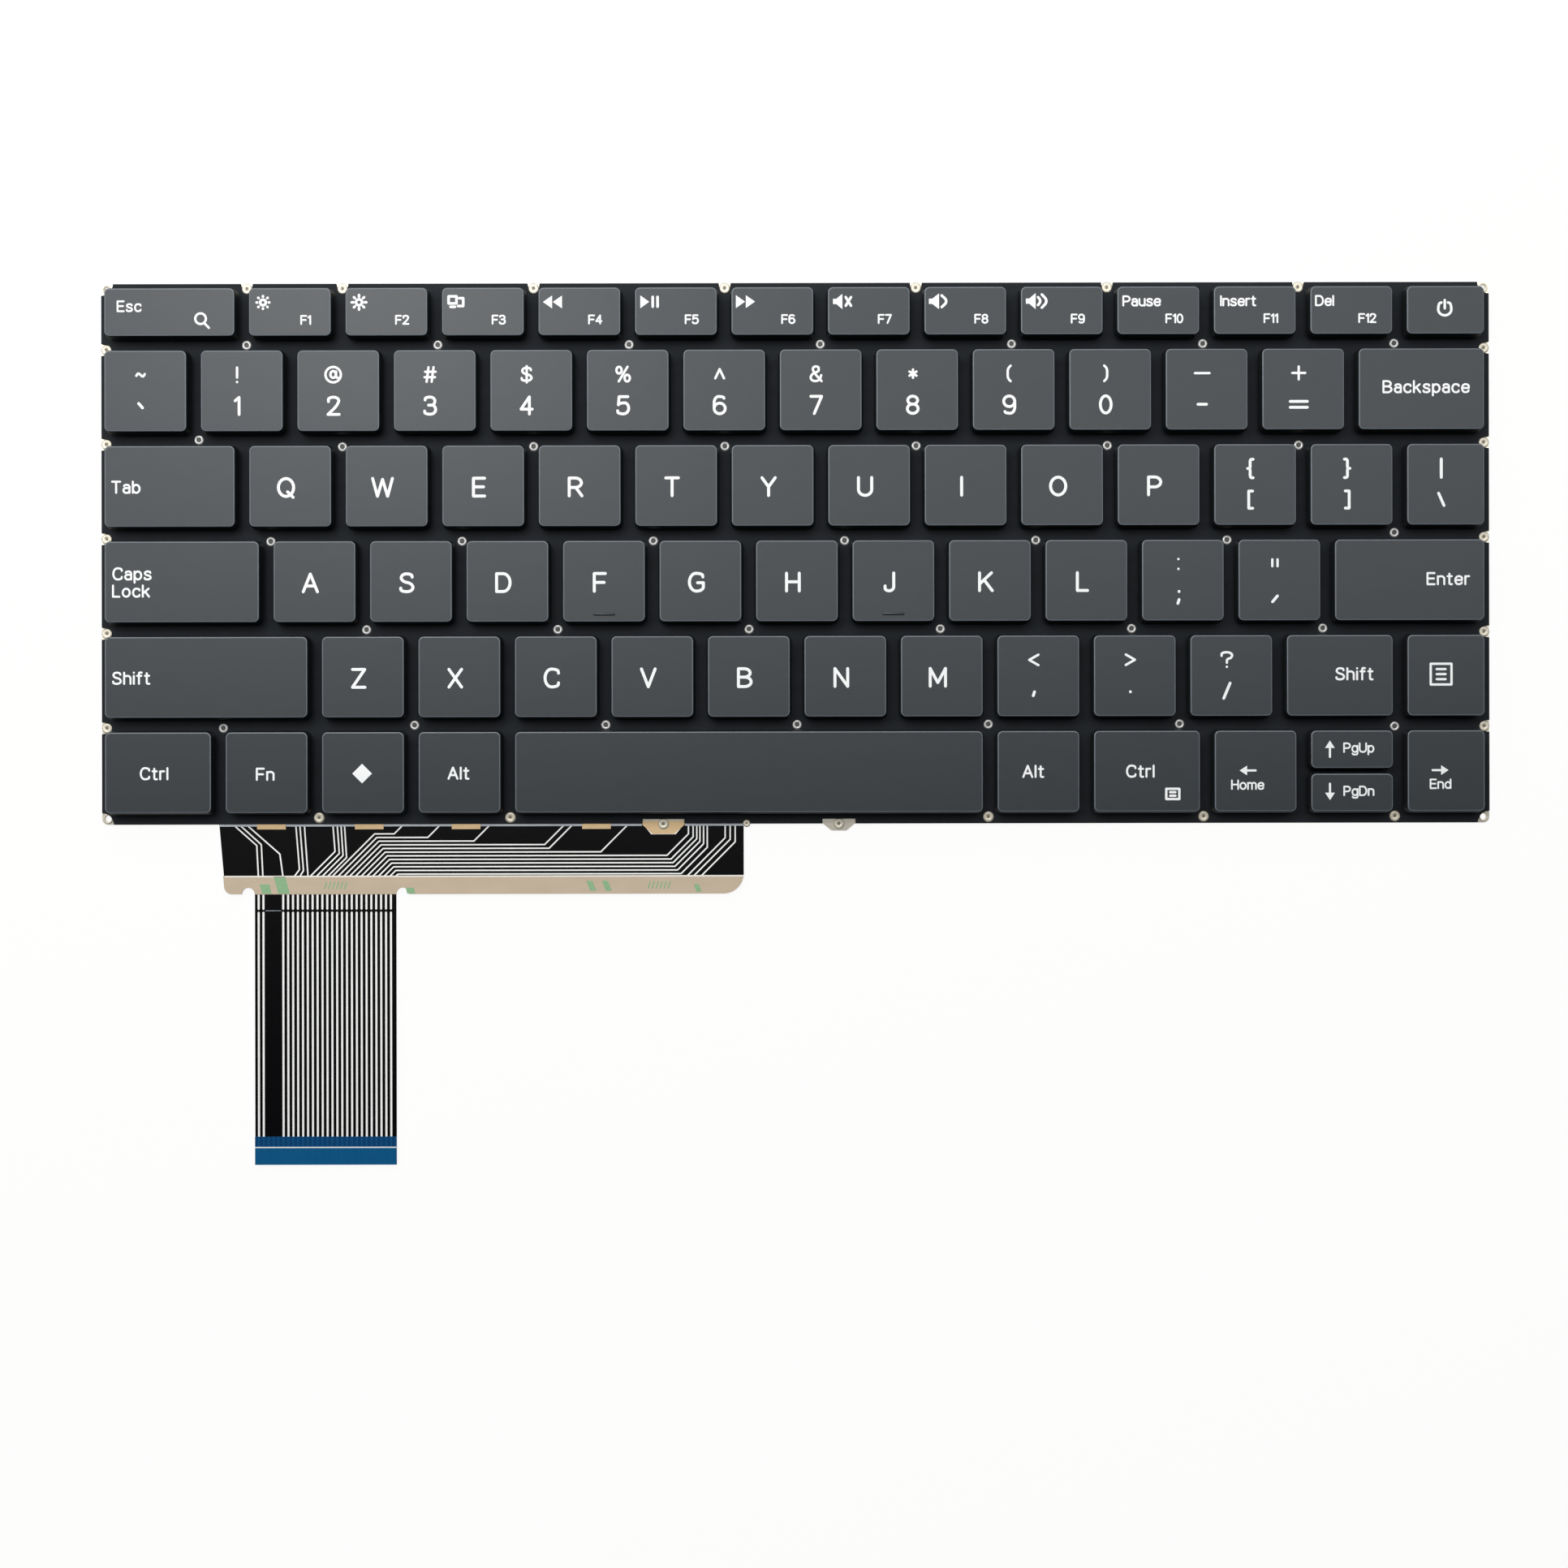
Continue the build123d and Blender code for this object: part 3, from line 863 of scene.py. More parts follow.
@dataclass(frozen=True)
class Legend:
    """A word or a sign on a cap, at an offset from the cap's middle."""

    mark: str | Icon
    x: float
    y: float
    height: float
    weight: float = 0.15
    spacing: float = 1.75

    def surface(self, x: float, y: float, z: float) -> Surface:
        """Draws the legend on a cap.

        Args:
            x: The cap's middle along X.
            y: The cap's middle along Y.
            z: The height of the print.

        Returns:
            The flat surface of the print.
        """
        is_icon = isinstance(self.mark, Icon)
        codes = [self.mark.value] if is_icon else [GLYPHS[sign] for sign in self.mark]
        return Pen(self.height, self.weight, self.spacing).text(codes, x + self.x, y + self.y, z)


def letter(mark: str) -> tuple[Legend, ...]:
    """The large letter of a letter key."""
    return (Legend(mark, -0.8, -0.25, 4.1, 0.142),)


def pair(upper: str, lower: str, size: float = 3.35) -> tuple[Legend, ...]:
    """The two marks of a digit or punctuation key."""
    return (Legend(upper, -0.9, 3.15, size, 0.138), Legend(lower, -0.9, -3.0, 3.95, 0.14))


def word(text: str, x: float, y: float = -0.15, height: float = 2.6) -> Legend:
    """A word on a command key."""
    return Legend(text, x, y, height, 0.153, 2.1)


def arrow(icon: Icon, x: float, text: str, text_x: float, text_y: float) -> tuple[Legend, ...]:
    """The sign of an arrow key and the small word beside it."""
    return (Legend(icon, x, 0.1, 3.0, 0.14), Legend(text, text_x, text_y, 2.05, 0.16))


def function(mark: str | Icon, number: int, x: float) -> tuple[Legend, ...]:
    """The two marks of a function key."""
    size = 2.2 if isinstance(mark, str) else 3.1
    return (Legend(mark, x, 1.85, size, 0.165), Legend(f"F{number}", 3.15, -1.62, 1.95, 0.175))


FUNCTION_MARKS: tuple[tuple[str | Icon, float], ...] = (
    *[(icon, -5.3) for icon in (Icon.SUN_LOW, Icon.SUN_HIGH, Icon.DISPLAYS, Icon.REWIND)],
    *[(icon, -5.3) for icon in (Icon.PLAY_PAUSE, Icon.FORWARD, Icon.MUTE, Icon.QUIETER)],
    (Icon.LOUDER, -4.9),
    ("Pause", -3.3),
    ("Insert", -3.3),
    ("Del", -5.3),
)
PAIRS = {
    **{digit: sign + digit for sign, digit in zip("!@#$%^&*()", "1234567890")},
    "grave": "~`",
    "minus": "_-",
    "equals": "+=",
    "semicolon": ":;",
    "quote": "\"'",
    "comma": "<,",
    "period": ">.",
    "slash": "?/",
}
LEGENDS: dict[str, tuple[Legend, ...]] = {
    **{f"f{n}": function(mark, n, x) for n, (mark, x) in enumerate(FUNCTION_MARKS, 1)},
    **{name: pair(*marks) for name, marks in PAIRS.items()},
    "escape": (word("Esc", -7.9, 1.15, 2.3), Legend(Icon.MAGNIFIER, 6.5, -1.75, 3.4, 0.132)),
    "power": (Legend(Icon.POWER, -0.15, 0.4, 3.5, 0.14),),
    "backspace": (word("Backspace", 0.9, 0.4),),
    "tab": (word("Tab", -8.6),),
    "left_bracket": pair("{", "[", 4.0),
    "right_bracket": pair("}", "]", 4.0),
    "backslash": pair("|", "\\", 4.2),
    "caps_lock": (word("Caps", -9.8, 1.6), word("Lock", -10.0, -1.8)),
    "enter": (word("Enter", 7.6, 0.2),),
    "left_shift": (word("Shift", -14.75),),
    "right_shift": (word("Shift", 2.85, 0.3),),
    "menu": (Legend(Icon.MENU, -1.0, 0.2, 4.55, 0.1),),
    "left_ctrl": (word("Ctrl", -0.75),),
    "fn": (word("Fn", -0.25, -0.3),),
    "system": (Legend(Icon.DIAMOND, -0.1, -0.2, 4.2),),
    "left_alt": (word("Alt", -0.2),),
    "right_alt": (word("Alt", -1.05, 0.0),),
    "right_ctrl": (word("Ctrl", -1.35, 0.0), Legend(Icon.PANEL, 5.05, -4.5, 2.9, 0.16)),
    "arrow_left": arrow(Icon.LEFT, -1.6, "Home", -1.6, -2.7),
    "arrow_up": arrow(Icon.UP, -4.4, "PgUp", 1.3, 0.3),
    "arrow_down": arrow(Icon.DOWN, -4.4, "PgDn", 1.3, 0.3),
    "arrow_right": arrow(Icon.RIGHT, -1.15, "End", -1.15, -2.6),
}


# Keys


# The caps' wall finish is painted shade, and their edge finish a painted highlight.
CAP_FINISHES = (KEY_PLASTIC, LEGEND_INK, KEY_WALL_PAINTED_SHADE, KEY_EDGE_PAINTED_HIGHLIGHT)
TOP, PRINT, WALL_SHADE, EDGE_HIGHLIGHT = range(len(CAP_FINISHES))
MECHANISM_FINISHES = (LEVER_PLASTIC, DOME_RUBBER, WIRE_STEEL)
LEVER, DOME, WIRE = range(len(MECHANISM_FINISHES))


@dataclass
class KeyCap:
    """A hollow cap with a flared skirt, round edges and its printed legends."""

    name: str
    x: float
    y: float
    width: float
    depth: float
    skirt_z: float
    top_z: float
    flare: float = 0.3
    wall: float = 0.8
    roof: float = 0.9
    corner: float = 1.35
    least_corner: float = 0.25
    edge: float = 0.34
    edge_steps: int = 6
    highlight_rows: tuple[int, int] = (6, 8)
    land: float = 0.15
    homing_keys: tuple[str, ...] = ("f", "j")
    homing_length: float = 4.0
    homing_taper: float = 0.24
    homing_tip: float = 0.05
    homing_radius: float = 0.28
    homing_rise: float = 0.7
    homing_inset: float = 1.5
    homing_sides: int = 12

    @classmethod
    def from_node(cls, name: str, node: str) -> "KeyCap":
        """Reads a cap's size and place from its CAD node.

        Args:
            name: The key's name.
            node: The cap's node.

        Returns:
            The cap.
        """
        low, high = node_box(node)
        (x, y, _), (width, depth, _) = (low + high) / 2, high - low - 2 * cls.flare
        return cls(name, x, y, width, depth, low[2], high[2])

    def legends(self) -> tuple[Legend, ...]:
        """The cap's legends: its own, or its letter, or none on the space bar."""
        return LEGENDS.get(self.name, letter(self.name.upper()) if len(self.name) == 1 else ())

    def body(self) -> Surface:
        """Shapes the cap as a stack of round-cornered rings.

        The rings go from the cavity's roof down its wall, out across the skirt's foot, up the leaning
        outer wall and over a quarter-round edge onto the flat top. The walls and the edge's lower rows
        are a darker copy of the plastic as painted shade, and the edge's upper rows a lighter copy as a
        painted highlight.

        Returns:
            The closed cap.
        """
        turn = np.linspace(0, pi / 2, self.edge_steps)
        lean = self.flare * (1 - self.edge / (self.top_z - self.skirt_z))
        inside, land = self.flare + self.wall, lean + self.edge + self.land
        rounding = lean + self.edge * (1 - np.cos(turn))
        inset = np.concatenate([[inside, inside, 0.0], rounding, [land]])
        rim = self.top_z - self.edge + self.edge * np.sin(turn)
        z = np.concatenate([[self.top_z - self.roof, self.skirt_z, self.skirt_z], rim, [self.top_z]])
        radius = np.maximum(self.corner - inset, self.least_corner)
        half_x, half_y = self.width / 2 + self.flare - inset, self.depth / 2 + self.flare - inset
        rings = rounded_rings(half_x, half_y, radius, z) + (self.x, self.y, 0.0)
        low, high = self.highlight_rows
        # The walls are painted darker as shade, and the upper edge rows lighter as a painted highlight.
        bands = ((rings[: low + 1], WALL_SHADE), (rings[low : high + 1], EDGE_HIGHLIGHT), (rings[high:], TOP))
        faces = [Surface.grid(band, wrap_columns=True, finish=finish) for band, finish in bands]
        ends = [Surface.polygons(rings[:1, ::-1], WALL_SHADE), Surface.polygons(rings[-1:], TOP)]
        return Surface.join([*faces, *ends])

    def homing_bar(self) -> Surface:
        """Raises a half-round bar near the cap's front edge: a half circle carried along a short line.

        Returns:
            The bar, with its foot in the cap's top.
        """
        half, end = self.homing_length / 2, self.homing_length / 2 + self.homing_taper
        y = self.y - self.depth / 2 + self.homing_inset
        size = self.homing_radius * np.array([self.homing_tip, 1.0, 1.0, self.homing_tip])[:, None]
        turn = np.linspace(0, 2 * pi, self.homing_sides, endpoint=False)
        across, up = size * np.sin(turn), size * self.homing_rise * np.cos(turn)
        x = np.broadcast_to(self.x + np.array([[-end], [-half], [half], [end]]), across.shape)
        return Surface.tube(np.stack([x, y - across, self.top_z + up], axis=-1), TOP)

    def surface(self) -> Surface:
        """Puts the cap and its print together.

        Returns:
            The cap, its homing bar if it has one, and its legends.
        """
        parts = [self.body()]
        if self.name in self.homing_keys:
            parts.append(self.homing_bar())
        print_z = self.top_z + PRINT_LIFT
        parts += [legend.surface(self.x, self.y, print_z).painted(PRINT) for legend in self.legends()]
        return Surface.join(parts)


@dataclass
class Mechanism:
    """Two crossing levers, the rubber dome between them and, under a wide cap, a steel wire."""

    cap: KeyCap
    sheet_z: float
    wide: bool
    lever_length: float = 10.6
    lever_width: float = 12.0
    lever_bar: float = 0.9
    lever_thickness: float = 0.45
    lever_corner: float = 0.6
    lever_play: float = 0.2
    seat: float = 0.05
    hook_room: float = 0.8
    dome_foot: float = 3.2
    dome_head: float = 1.6
    dome_foot_shares: tuple[float, ...] = (1.0, 1.0, 0.9)
    dome_head_shares: tuple[float, ...] = (1.15, 1.0, 0.8)
    dome_height_shares: tuple[float, ...] = (0.0, 0.12, 0.3, 0.74, 0.94, 1.0)
    dome_sides: int = 12
    wire_radius: float = 0.3
    wire_leg: float = 8.0
    wire_inset: float = 2.6
    wire_bend: float = 0.8
    wire_cut: tuple[float, float] = (0.25, 0.2)
    wire_sides: int = 6

    def __post_init__(self) -> None:
        """Fits the levers under the cap: their length to its depth and their tilt to its ceiling."""
        self.ceiling = self.cap.top_z - self.cap.roof
        self.length = min(self.lever_length, self.cap.depth - 2 * (self.cap.wall + self.hook_room))
        self.rise = self.ceiling - self.sheet_z - 2 * self.seat
        slope = asin(self.rise / hypot(self.length, self.lever_thickness))
        self.tilt = slope - atan2(self.lever_thickness, self.length)

    def lever(self, width: float, tilt: float) -> Surface:
        """Carries a bar's section round a ring with cut corners, and tilts the ring about X.

        Args:
            width: The ring's outer width.
            tilt: Its tilt in radians.

        Returns:
            The closed ring.
        """
        half_x, half_y = (width - self.lever_bar) / 2, (self.length - self.lever_bar) / 2
        sizes = (half_x, half_y, self.lever_corner, 0.0)
        path = rounded_rings(*[np.array([size]) for size in sizes], points=2)[0]
        side, rise = self.lever_bar / 2, self.lever_thickness / 2
        section = np.array([[-side, rise], [-side, -rise], [side, -rise], [side, rise]])
        x, y, z = np.moveaxis(swept(path, section, True), -1, 0)
        turned = np.stack([x, y * cos(tilt) - z * sin(tilt), y * sin(tilt) + z * cos(tilt)], axis=-1)
        middle = (self.ceiling + self.sheet_z) / 2
        return Surface.grid(turned + (self.cap.x, self.cap.y, middle), True, True, LEVER)

    def dome(self) -> Surface:
        """Turns the dome's profile about the vertical: a flat foot, a bowed flank and a round head.

        Returns:
            The closed dome.
        """
        window = (self.length / 2 - self.lever_bar) * cos(self.tilt)
        foot = min(self.dome_foot, window - self.lever_play)
        head = foot * self.dome_head / self.dome_foot
        flank = [foot * np.array(self.dome_foot_shares), head * np.array(self.dome_head_shares)]
        z = self.sheet_z + (self.rise + self.seat) * np.array(self.dome_height_shares)
        rings = revolved(np.concatenate(flank), z, self.dome_sides)
        return Surface.tube(rings + (self.cap.x, self.cap.y, 0.0), DOME)

    def wire(self) -> Surface:
        """Carries a circle along the wire: up one leg, along the low back run and up the other leg.

        Returns:
            The closed wire.
        """
        half, radius = self.cap.width / 2 - self.wire_inset, self.wire_radius
        slope = asin((self.rise - 2 * radius) / self.wire_leg)
        back = self.cap.y + self.cap.depth / 2 - self.cap.wall - radius - self.lever_play
        front = back - self.wire_leg * cos(slope)
        low, high = self.sheet_z + self.seat + radius, self.ceiling - self.seat - radius
        bend, (cut_x, cut_y) = self.wire_bend, self.wire_cut
        drop = bend * (high - low) / (back - front)
        right = np.array([
            [half, front, high],
            [half, back - bend, low + drop],
            [half - cut_x, back - cut_y, low],
            [half - bend, back, low],
        ])
        path = np.vstack([right, right[::-1] * (-1, 1, 1)]) + (self.cap.x, 0.0, 0.0)
        turn = np.linspace(0, 2 * pi, self.wire_sides, endpoint=False)
        rings = swept(path, radius * np.stack([np.cos(turn), np.sin(turn)], axis=-1), False)
        return Surface.tube(rings[:, ::-1], WIRE)

    def surface(self) -> Surface:
        """Puts the mechanism together.

        Returns:
            The levers, the dome and the wire, in three finishes.
        """
        inner = self.lever_width - 2 * (self.lever_bar + self.lever_play)
        parts = [self.lever(self.lever_width, self.tilt), self.lever(inner, -self.tilt), self.dome()]
        return Surface.join([*parts, self.wire()] if self.wide else parts)


@dataclass
class KeyField:
    """All the caps and their mechanisms. A row lists its keys and their widths in pitches."""

    cap_spacing: float = 2.79
    function_row: tuple[tuple[str, float], ...] = (
        ("escape", 1.5),
        *[(f"f{n}", 1.0) for n in range(1, 13)],
        ("power", 0.95),
    )
    number_row: tuple[tuple[str, float], ...] = (
        *[(name, 1.0) for name in ("grave", *"1234567890", "minus", "equals")],
        ("backspace", 1.45),
    )
    wide_keys: tuple[str, ...] = ("backspace", "tab", "caps_lock", "enter", "left_shift", "space")
    pressed_share: float = 0.44

    def fixed_row(self, node: str, left: float, row: tuple[tuple[str, float], ...]) -> list[KeyCap]:
        """Lays the caps of a row that is one CAD node.

        Args:
            node: The row's node.
            left: The left edge of the key grid.
            row: Each key's name and its width in pitches.

        Returns:
            The caps from left to right.
        """
        low, high = node_box(node)
        y, depth = (low[1] + high[1]) / 2, high[1] - low[1] - 2 * KeyCap.flare
        names, units = [name for name, _ in row], np.array([width for _, width in row])
        widths = units * KEY_PITCH - self.cap_spacing
        middles = left + (np.cumsum(units) - units) * KEY_PITCH + widths / 2
        places = zip(names, middles, widths)
        return [KeyCap(name, x, y, width, depth, low[2], high[2]) for name, x, width in places]

    def mechanism(self, cap: KeyCap, sheet_z: float) -> Surface:
        """The levers, dome and wire under a cap."""
        return Mechanism(cap, sheet_z, cap.name in self.wide_keys).surface()

    def build(self) -> None:
        """Builds the two fixed rows, and then each moving cap with the mechanism under it."""
        sheet_z = node_box("rubber_domes")[0][2]
        left = node_box("number_row_keycaps")[0][0] + KeyCap.flare
        still = []
        for name, row in (("function_row", self.function_row), ("number_row", self.number_row)):
            caps = self.fixed_row(f"{name}_keycaps", left, row)
            tops = Surface.join([cap.surface() for cap in caps])
            tops.piece(f"{name}_caps", "base", "key_plastic", CAP_FINISHES, (f"{name}_keycaps",))
            still += [self.mechanism(cap, sheet_z) for cap in caps]
        nodes = ("scissor_levers", "rubber_domes", "stabilizer_bars")
        under = Surface.join(still)
        under.piece("fixed_row_mechanisms", "base", "lever_plastic", MECHANISM_FINISHES, nodes)
        for node in sorted(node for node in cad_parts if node.startswith("keycap_")):
            name = node.removeprefix("keycap_")
            cap = KeyCap.from_node(name, node)
            cap.surface().piece(f"cap_{name}", f"key_{name}", "key_plastic", CAP_FINISHES, (node,))
            used = MECHANISM_FINISHES if name in self.wide_keys else MECHANISM_FINISHES[:WIRE]
            folding = self.mechanism(cap, sheet_z)
            piece = folding.piece(f"mechanism_{name}", "base", "lever_plastic", used, ())
            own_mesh(piece)


# Plate and films


@dataclass
class Eyelets:
    """The metal eyelets that hold the films down on the plate, between the caps and along the edges."""

    grid_left: float = -137.835
    first_gap: float = 41.23
    row_pitch: float = 18.85
    gap_count: int = 5
    back_units: tuple[float, ...] = (1.5, 2.5, 4.5, 6.5, 8.5, 10.5, 12.5)
    front_units: tuple[float, ...] = (2.25, 4.25, 9.25, 11.5, 13.5)
    raised: float = 0.35
    lowered: float = -1.05
    side_shift: float = -0.5
    edge_inset: float = 1.05
    edge_lift: float = 0.05
    front_inset: float = 1.35
    corner_inset: float = 1.2
    inner_rim: float = 0.87
    bore: float = 0.47
    rim: float = 0.98
    dent: float = 0.3
    corner_bore: float = 0.66
    flap_share: float = 0.66
    flap_offset: tuple[float, float] = (0.6, 0.1)
    # The width of the painted shadow ring round each eyelet's foot, and its lift.
    foot_shadow: float = 0.1
    foot_shadow_lift: float = 0.015
    rim_insets: tuple[float, ...] = (0.0, 0.0, 0.07, 0.2)
    bore_outsets: tuple[float, ...] = (0.1, 0.0, 0.0)
    profile_heights: tuple[float, ...] = (-0.3, 0.08, 0.16, 0.2, 0.18, 0.1, 0.02)
    sides: int = 20

    def row_gaps(self) -> np.ndarray:
        """The Y in the middle of each gap between rows, from the number row's back to the front row's."""
        return self.first_gap - self.row_pitch * np.arange(self.gap_count)

    def side_places(self) -> np.ndarray:
        """The Y of the eyelets along each side, one near each gap."""
        return self.row_gaps() + self.side_shift

    def columns(self) -> list[tuple[float, np.ndarray]]:
        """Lists the eyelets of each gap between rows.

        Returns:
            Pairs of a Y and the places there, in key pitches from the grid's left edge. The Y is raised
            where the row behind parts and lowered where the row in front does.
        """
        steps, (number, upper, home, lower, front) = np.arange(6) * 2, self.row_gaps()
        return [
            (number + self.raised, np.arange(7) * 2 + 1.5),
            (upper + self.raised, np.array([1.0])),
            (upper + self.lowered, steps + 2.5),
            (home + self.lowered, steps + 1.75),
            (home + self.raised, np.array([13.5])),
            (lower + self.raised / 2, steps + 2.75),
            (front, steps[:5] + 3.25),
            (front + self.lowered / 2, np.array([1.25, 13.5])),
        ]

    def along(self, units: np.ndarray | tuple[float, ...]) -> np.ndarray:
        """The X of places given in key pitches from the grid's left edge."""
        return self.grid_left + KEY_PITCH * np.array(units)

    def inner(self) -> np.ndarray:
        """The places of the eyelets between rows, by two."""
        return np.vstack([paired(self.along(units), y) for y, units in self.columns()])

    def edges(self, low: np.ndarray, high: np.ndarray) -> np.ndarray:
        """Lists the eyelets in the notches of the sheet's back edge and sides.

        Args:
            low: The lowest corner of the plate's rectangle.
            high: Its highest corner.

        Returns:
            Places by two.
        """
        sides, inset = self.side_places(), self.edge_inset
        back = paired(self.along(self.back_units), high[1] - inset)
        return np.vstack([back, paired(low[0] + inset, sides), paired(high[0] - inset, sides)])

    def ring(self, rim: float, bore: float, finish: int, through: bool = False) -> Surface:
        """Turns the eyelet's profile about the vertical: a rolled rim that dips into a bore.

        Args:
            rim: The rim's outer radius.
            bore: The bore's radius.
            finish: The number of the rim's finish, with the painted shade of the bore and foot next to
                it.
            through: Whether the bore goes through.

        Returns:
            One eyelet with its seat at the origin.
        """
        radius = np.concatenate([rim - np.array(self.rim_insets), bore + np.array(self.bore_outsets)])
        z = np.array(self.profile_heights)
        rings = revolved(radius, z, self.sides)
        if through:
            end = revolved(radius[-1:], z[:1], self.sides)
            return Surface.grid(np.concatenate([rings, end]), True, True, finish)
        side = Surface.grid(rings, wrap_columns=True, finish=finish)
        under = Surface.polygons(rings[:1, ::-1], finish)
        # Painted shadow: a thin dark ring on the seat round the eyelet's foot.
        line = revolved(np.array([rim + self.foot_shadow, rim]), np.full(2, self.foot_shadow_lift), self.sides)
        foot_shadow = Surface.grid(line, wrap_columns=True, finish=finish + 1)
        # The bore's flat floor takes the next finish, painted dark as shade.
        return Surface.join([side, under, foot_shadow, Surface.polygons(rings[-1:], finish + 1)])

    def build(self, membrane: "Membrane") -> None:
        """Builds all the eyelets as one piece.

        Args:
            membrane: The films that they hold down.
        """
        low, high = membrane.low, membrane.high
        plate_z, sheet_z, front = membrane.plate_z, membrane.sheet_z, membrane.front
        xs, ys = np.array([low, high]).T + (self.corner_inset, -self.corner_inset)
        left_ear, right_ear = ([(x, front)] for x in membrane.ear_xs)
        flap_end = [(membrane.flap_right + self.flap_offset[0], front + self.flap_offset[1])]
        finishes = [EYELET_METAL, EYELET_BORE_SHADE, EYELET_CREAM, EYELET_DENT_SHADE]
        metal, cream = finishes.index(EYELET_METAL), finishes.index(EYELET_CREAM)
        edge = self.ring(self.rim, self.dent, cream)
        small = self.ring(self.flap_share * self.rim, self.flap_share * self.dent, cream)
        corner = self.ring(self.rim, self.corner_bore, cream, True)
        groups = [
            (self.ring(self.inner_rim, self.bore, metal), self.inner(), sheet_z),
            (edge, paired(self.along(self.front_units), front + self.front_inset), sheet_z),
            (corner, [(x, y) for x in xs for y in ys], plate_z),
            (edge, self.edges(low, high), plate_z + self.edge_lift),
            (edge, left_ear, membrane.label_z),
            (edge, right_ear, plate_z),
            (small, flap_end, sheet_z),
        ]
        rings = [ring.moved(x, y, z) for ring, places, z in groups for x, y in places]
        Surface.join(rings).piece("eyelets", "base", "plate_metal", finishes, ())


@dataclass
class Membrane:
    """The notched cover sheet on the plate, and the circuit film that leaves it as flap and tail.

    A left trace is its X at the edge, the X and Y of its bend, if it has one, and its X at the liner. A
    fan's trace is its X at the edge, the Y of its bend and its drift to there. A climb is the X where a
    level trace turns up and the Y where it turns straight again, or None for the edge itself.
    """

    eyelets: Eyelets
    margin: float = 0.08
    notch: float = 1.04
    notch_mouth: float = 1.2
    corner_notch: float = 2.3
    ear_xs: tuple[float, ...] = (-26.4, 8.6)
    ear_halves: tuple[float, ...] = (4.15, 3.3)
    ear_notch: float = 0.95
    ear_tip: tuple[float, float] = (2.45, 2.05)
    ear_clear: float = 4.3
    label_side: tuple[tuple[float, float], ...] = ((4.45, 0.6), (4.45, 0.1), (2.2, -2.0))
    label_thickness: float = 0.2
    film_thickness: float = 0.15
    flap_left: float = -115.0
    flap_right: float = -10.4
    flap_slant: float = 1.1
    flap_left_round: float = 1.6
    flap_right_round: float = 4.0
    relief: float = 1.3
    lap: float = 0.1
    tuck: float = 0.3
    edge_depth: float = 0.38
    edge_heights: tuple[float, float] = (-0.02, 0.05)
    pad_xs: tuple[float, ...] = (-107.4, -87.9, -68.6, -42.6)
    pad_width: float = 5.7
    pad_depth: float = 0.95
    pad_height: float = 0.12
    trace: float = 0.28
    trace_start: float = 0.15
    left_traces: tuple[tuple[float, ...], ...] = (
        (-112.0, -107.5, -58.1, -107.2),
        (-110.8, -106.6, -57.9, -106.3),
        (-109.4, -102.9, -59.8, -102.3),
        (-99.7, -99.0, -62.9, -100.0),
        (-98.9, -98.2, -63.1, -98.9),
        (-98.0, -97.3),
    )
    fans: tuple[tuple[float, float, float], ...] = (
        (-92.3, -59.3, 0.4),
        (-91.45, -59.7, 0.4),
        (-90.7, -60.1, 0.4),
        (-90.0, -60.5, 0.4),
        (-14.1, -56.7, 0.0),
        (-13.1, -57.0, 0.0),
        (-12.1, -57.5, 0.0),
    )
    bundle_start: tuple[float, float] = (-84.0, -55.8)
    bundle_step: tuple[float, float] = (0.42, -0.73)
    climbs: tuple[tuple[float, float | None], ...] = (
        *[(x, None) for x in (-80.1, -73.4, -64.2, -50.1, -49.2, -38.9)],
        (-25.7, -55.9),
        (-24.9, -56.5),
        (-24.5, -56.9),
        (-24.1, -57.4),
        (-23.6, -57.9),
        (-22.9, -58.6),
    )
    conductor: float = 0.4
    conductor_pitch: float = 0.976
    conductor_count: int = 23
    conductor_start: float = 0.4
    first_conductor: float = -102.25
    outer_conductors: tuple[float, ...] = (-107.15, -106.2)
    splice_y: float = -71.1
    splice: float = 0.36
    splice_line: float = 0.1

    def __post_init__(self) -> None:
        """Reads the heights and edges from the CAD nodes."""
        plate_low, plate_high = node_box("base_plate")
        film_low, film_high = node_box("membrane")
        liner_low, liner_high = node_box("tape_liner")
        stiffener_low, stiffener_high = node_box("tail_stiffener")
        self.low = np.array([plate_low[0], -plate_high[1]])
        self.high = plate_high[:2]
        self.plate_z, self.sheet_z = film_low[2], film_high[2]
        self.film_z = self.plate_z + self.film_thickness
        self.label_z = self.plate_z + self.label_thickness
        self.front = self.low[1]
        self.flap_front, self.liner_back = liner_low[1], liner_high[1]
        self.tail_left, self.tail_right = stiffener_low[0], stiffener_high[0]
        self.tail_end, self.stiffener_back = film_low[1], stiffener_high[1]

    def edge_run(self, centres: np.ndarray, level: float, heading: float) -> np.ndarray:
        """Walks along one edge of the sheet: at each eyelet a mouth, and half a circle about the eyelet.

        Args:
            centres: Where the notches lie along the edge, in walking order.
            level: The edge's own X or Y.
            heading: The walking direction in radians.

        Returns:
            The points of the notches.
        """
        along = np.array([cos(heading), sin(heading)])
        inward = np.array([-sin(heading), cos(heading)])
        upright = abs(along[0]) < abs(along[1])
        mouths = paired(level, centres) if upright else paired(centres, level)
        inset = inward * (self.eyelets.edge_inset - self.margin)
        reach = along * self.notch_mouth
        notches = [
            [mouth - reach, *arc(*(mouth + inset), self.notch, heading + pi, heading), mouth + reach]
            for mouth in mouths
        ]
        return np.vstack(notches)

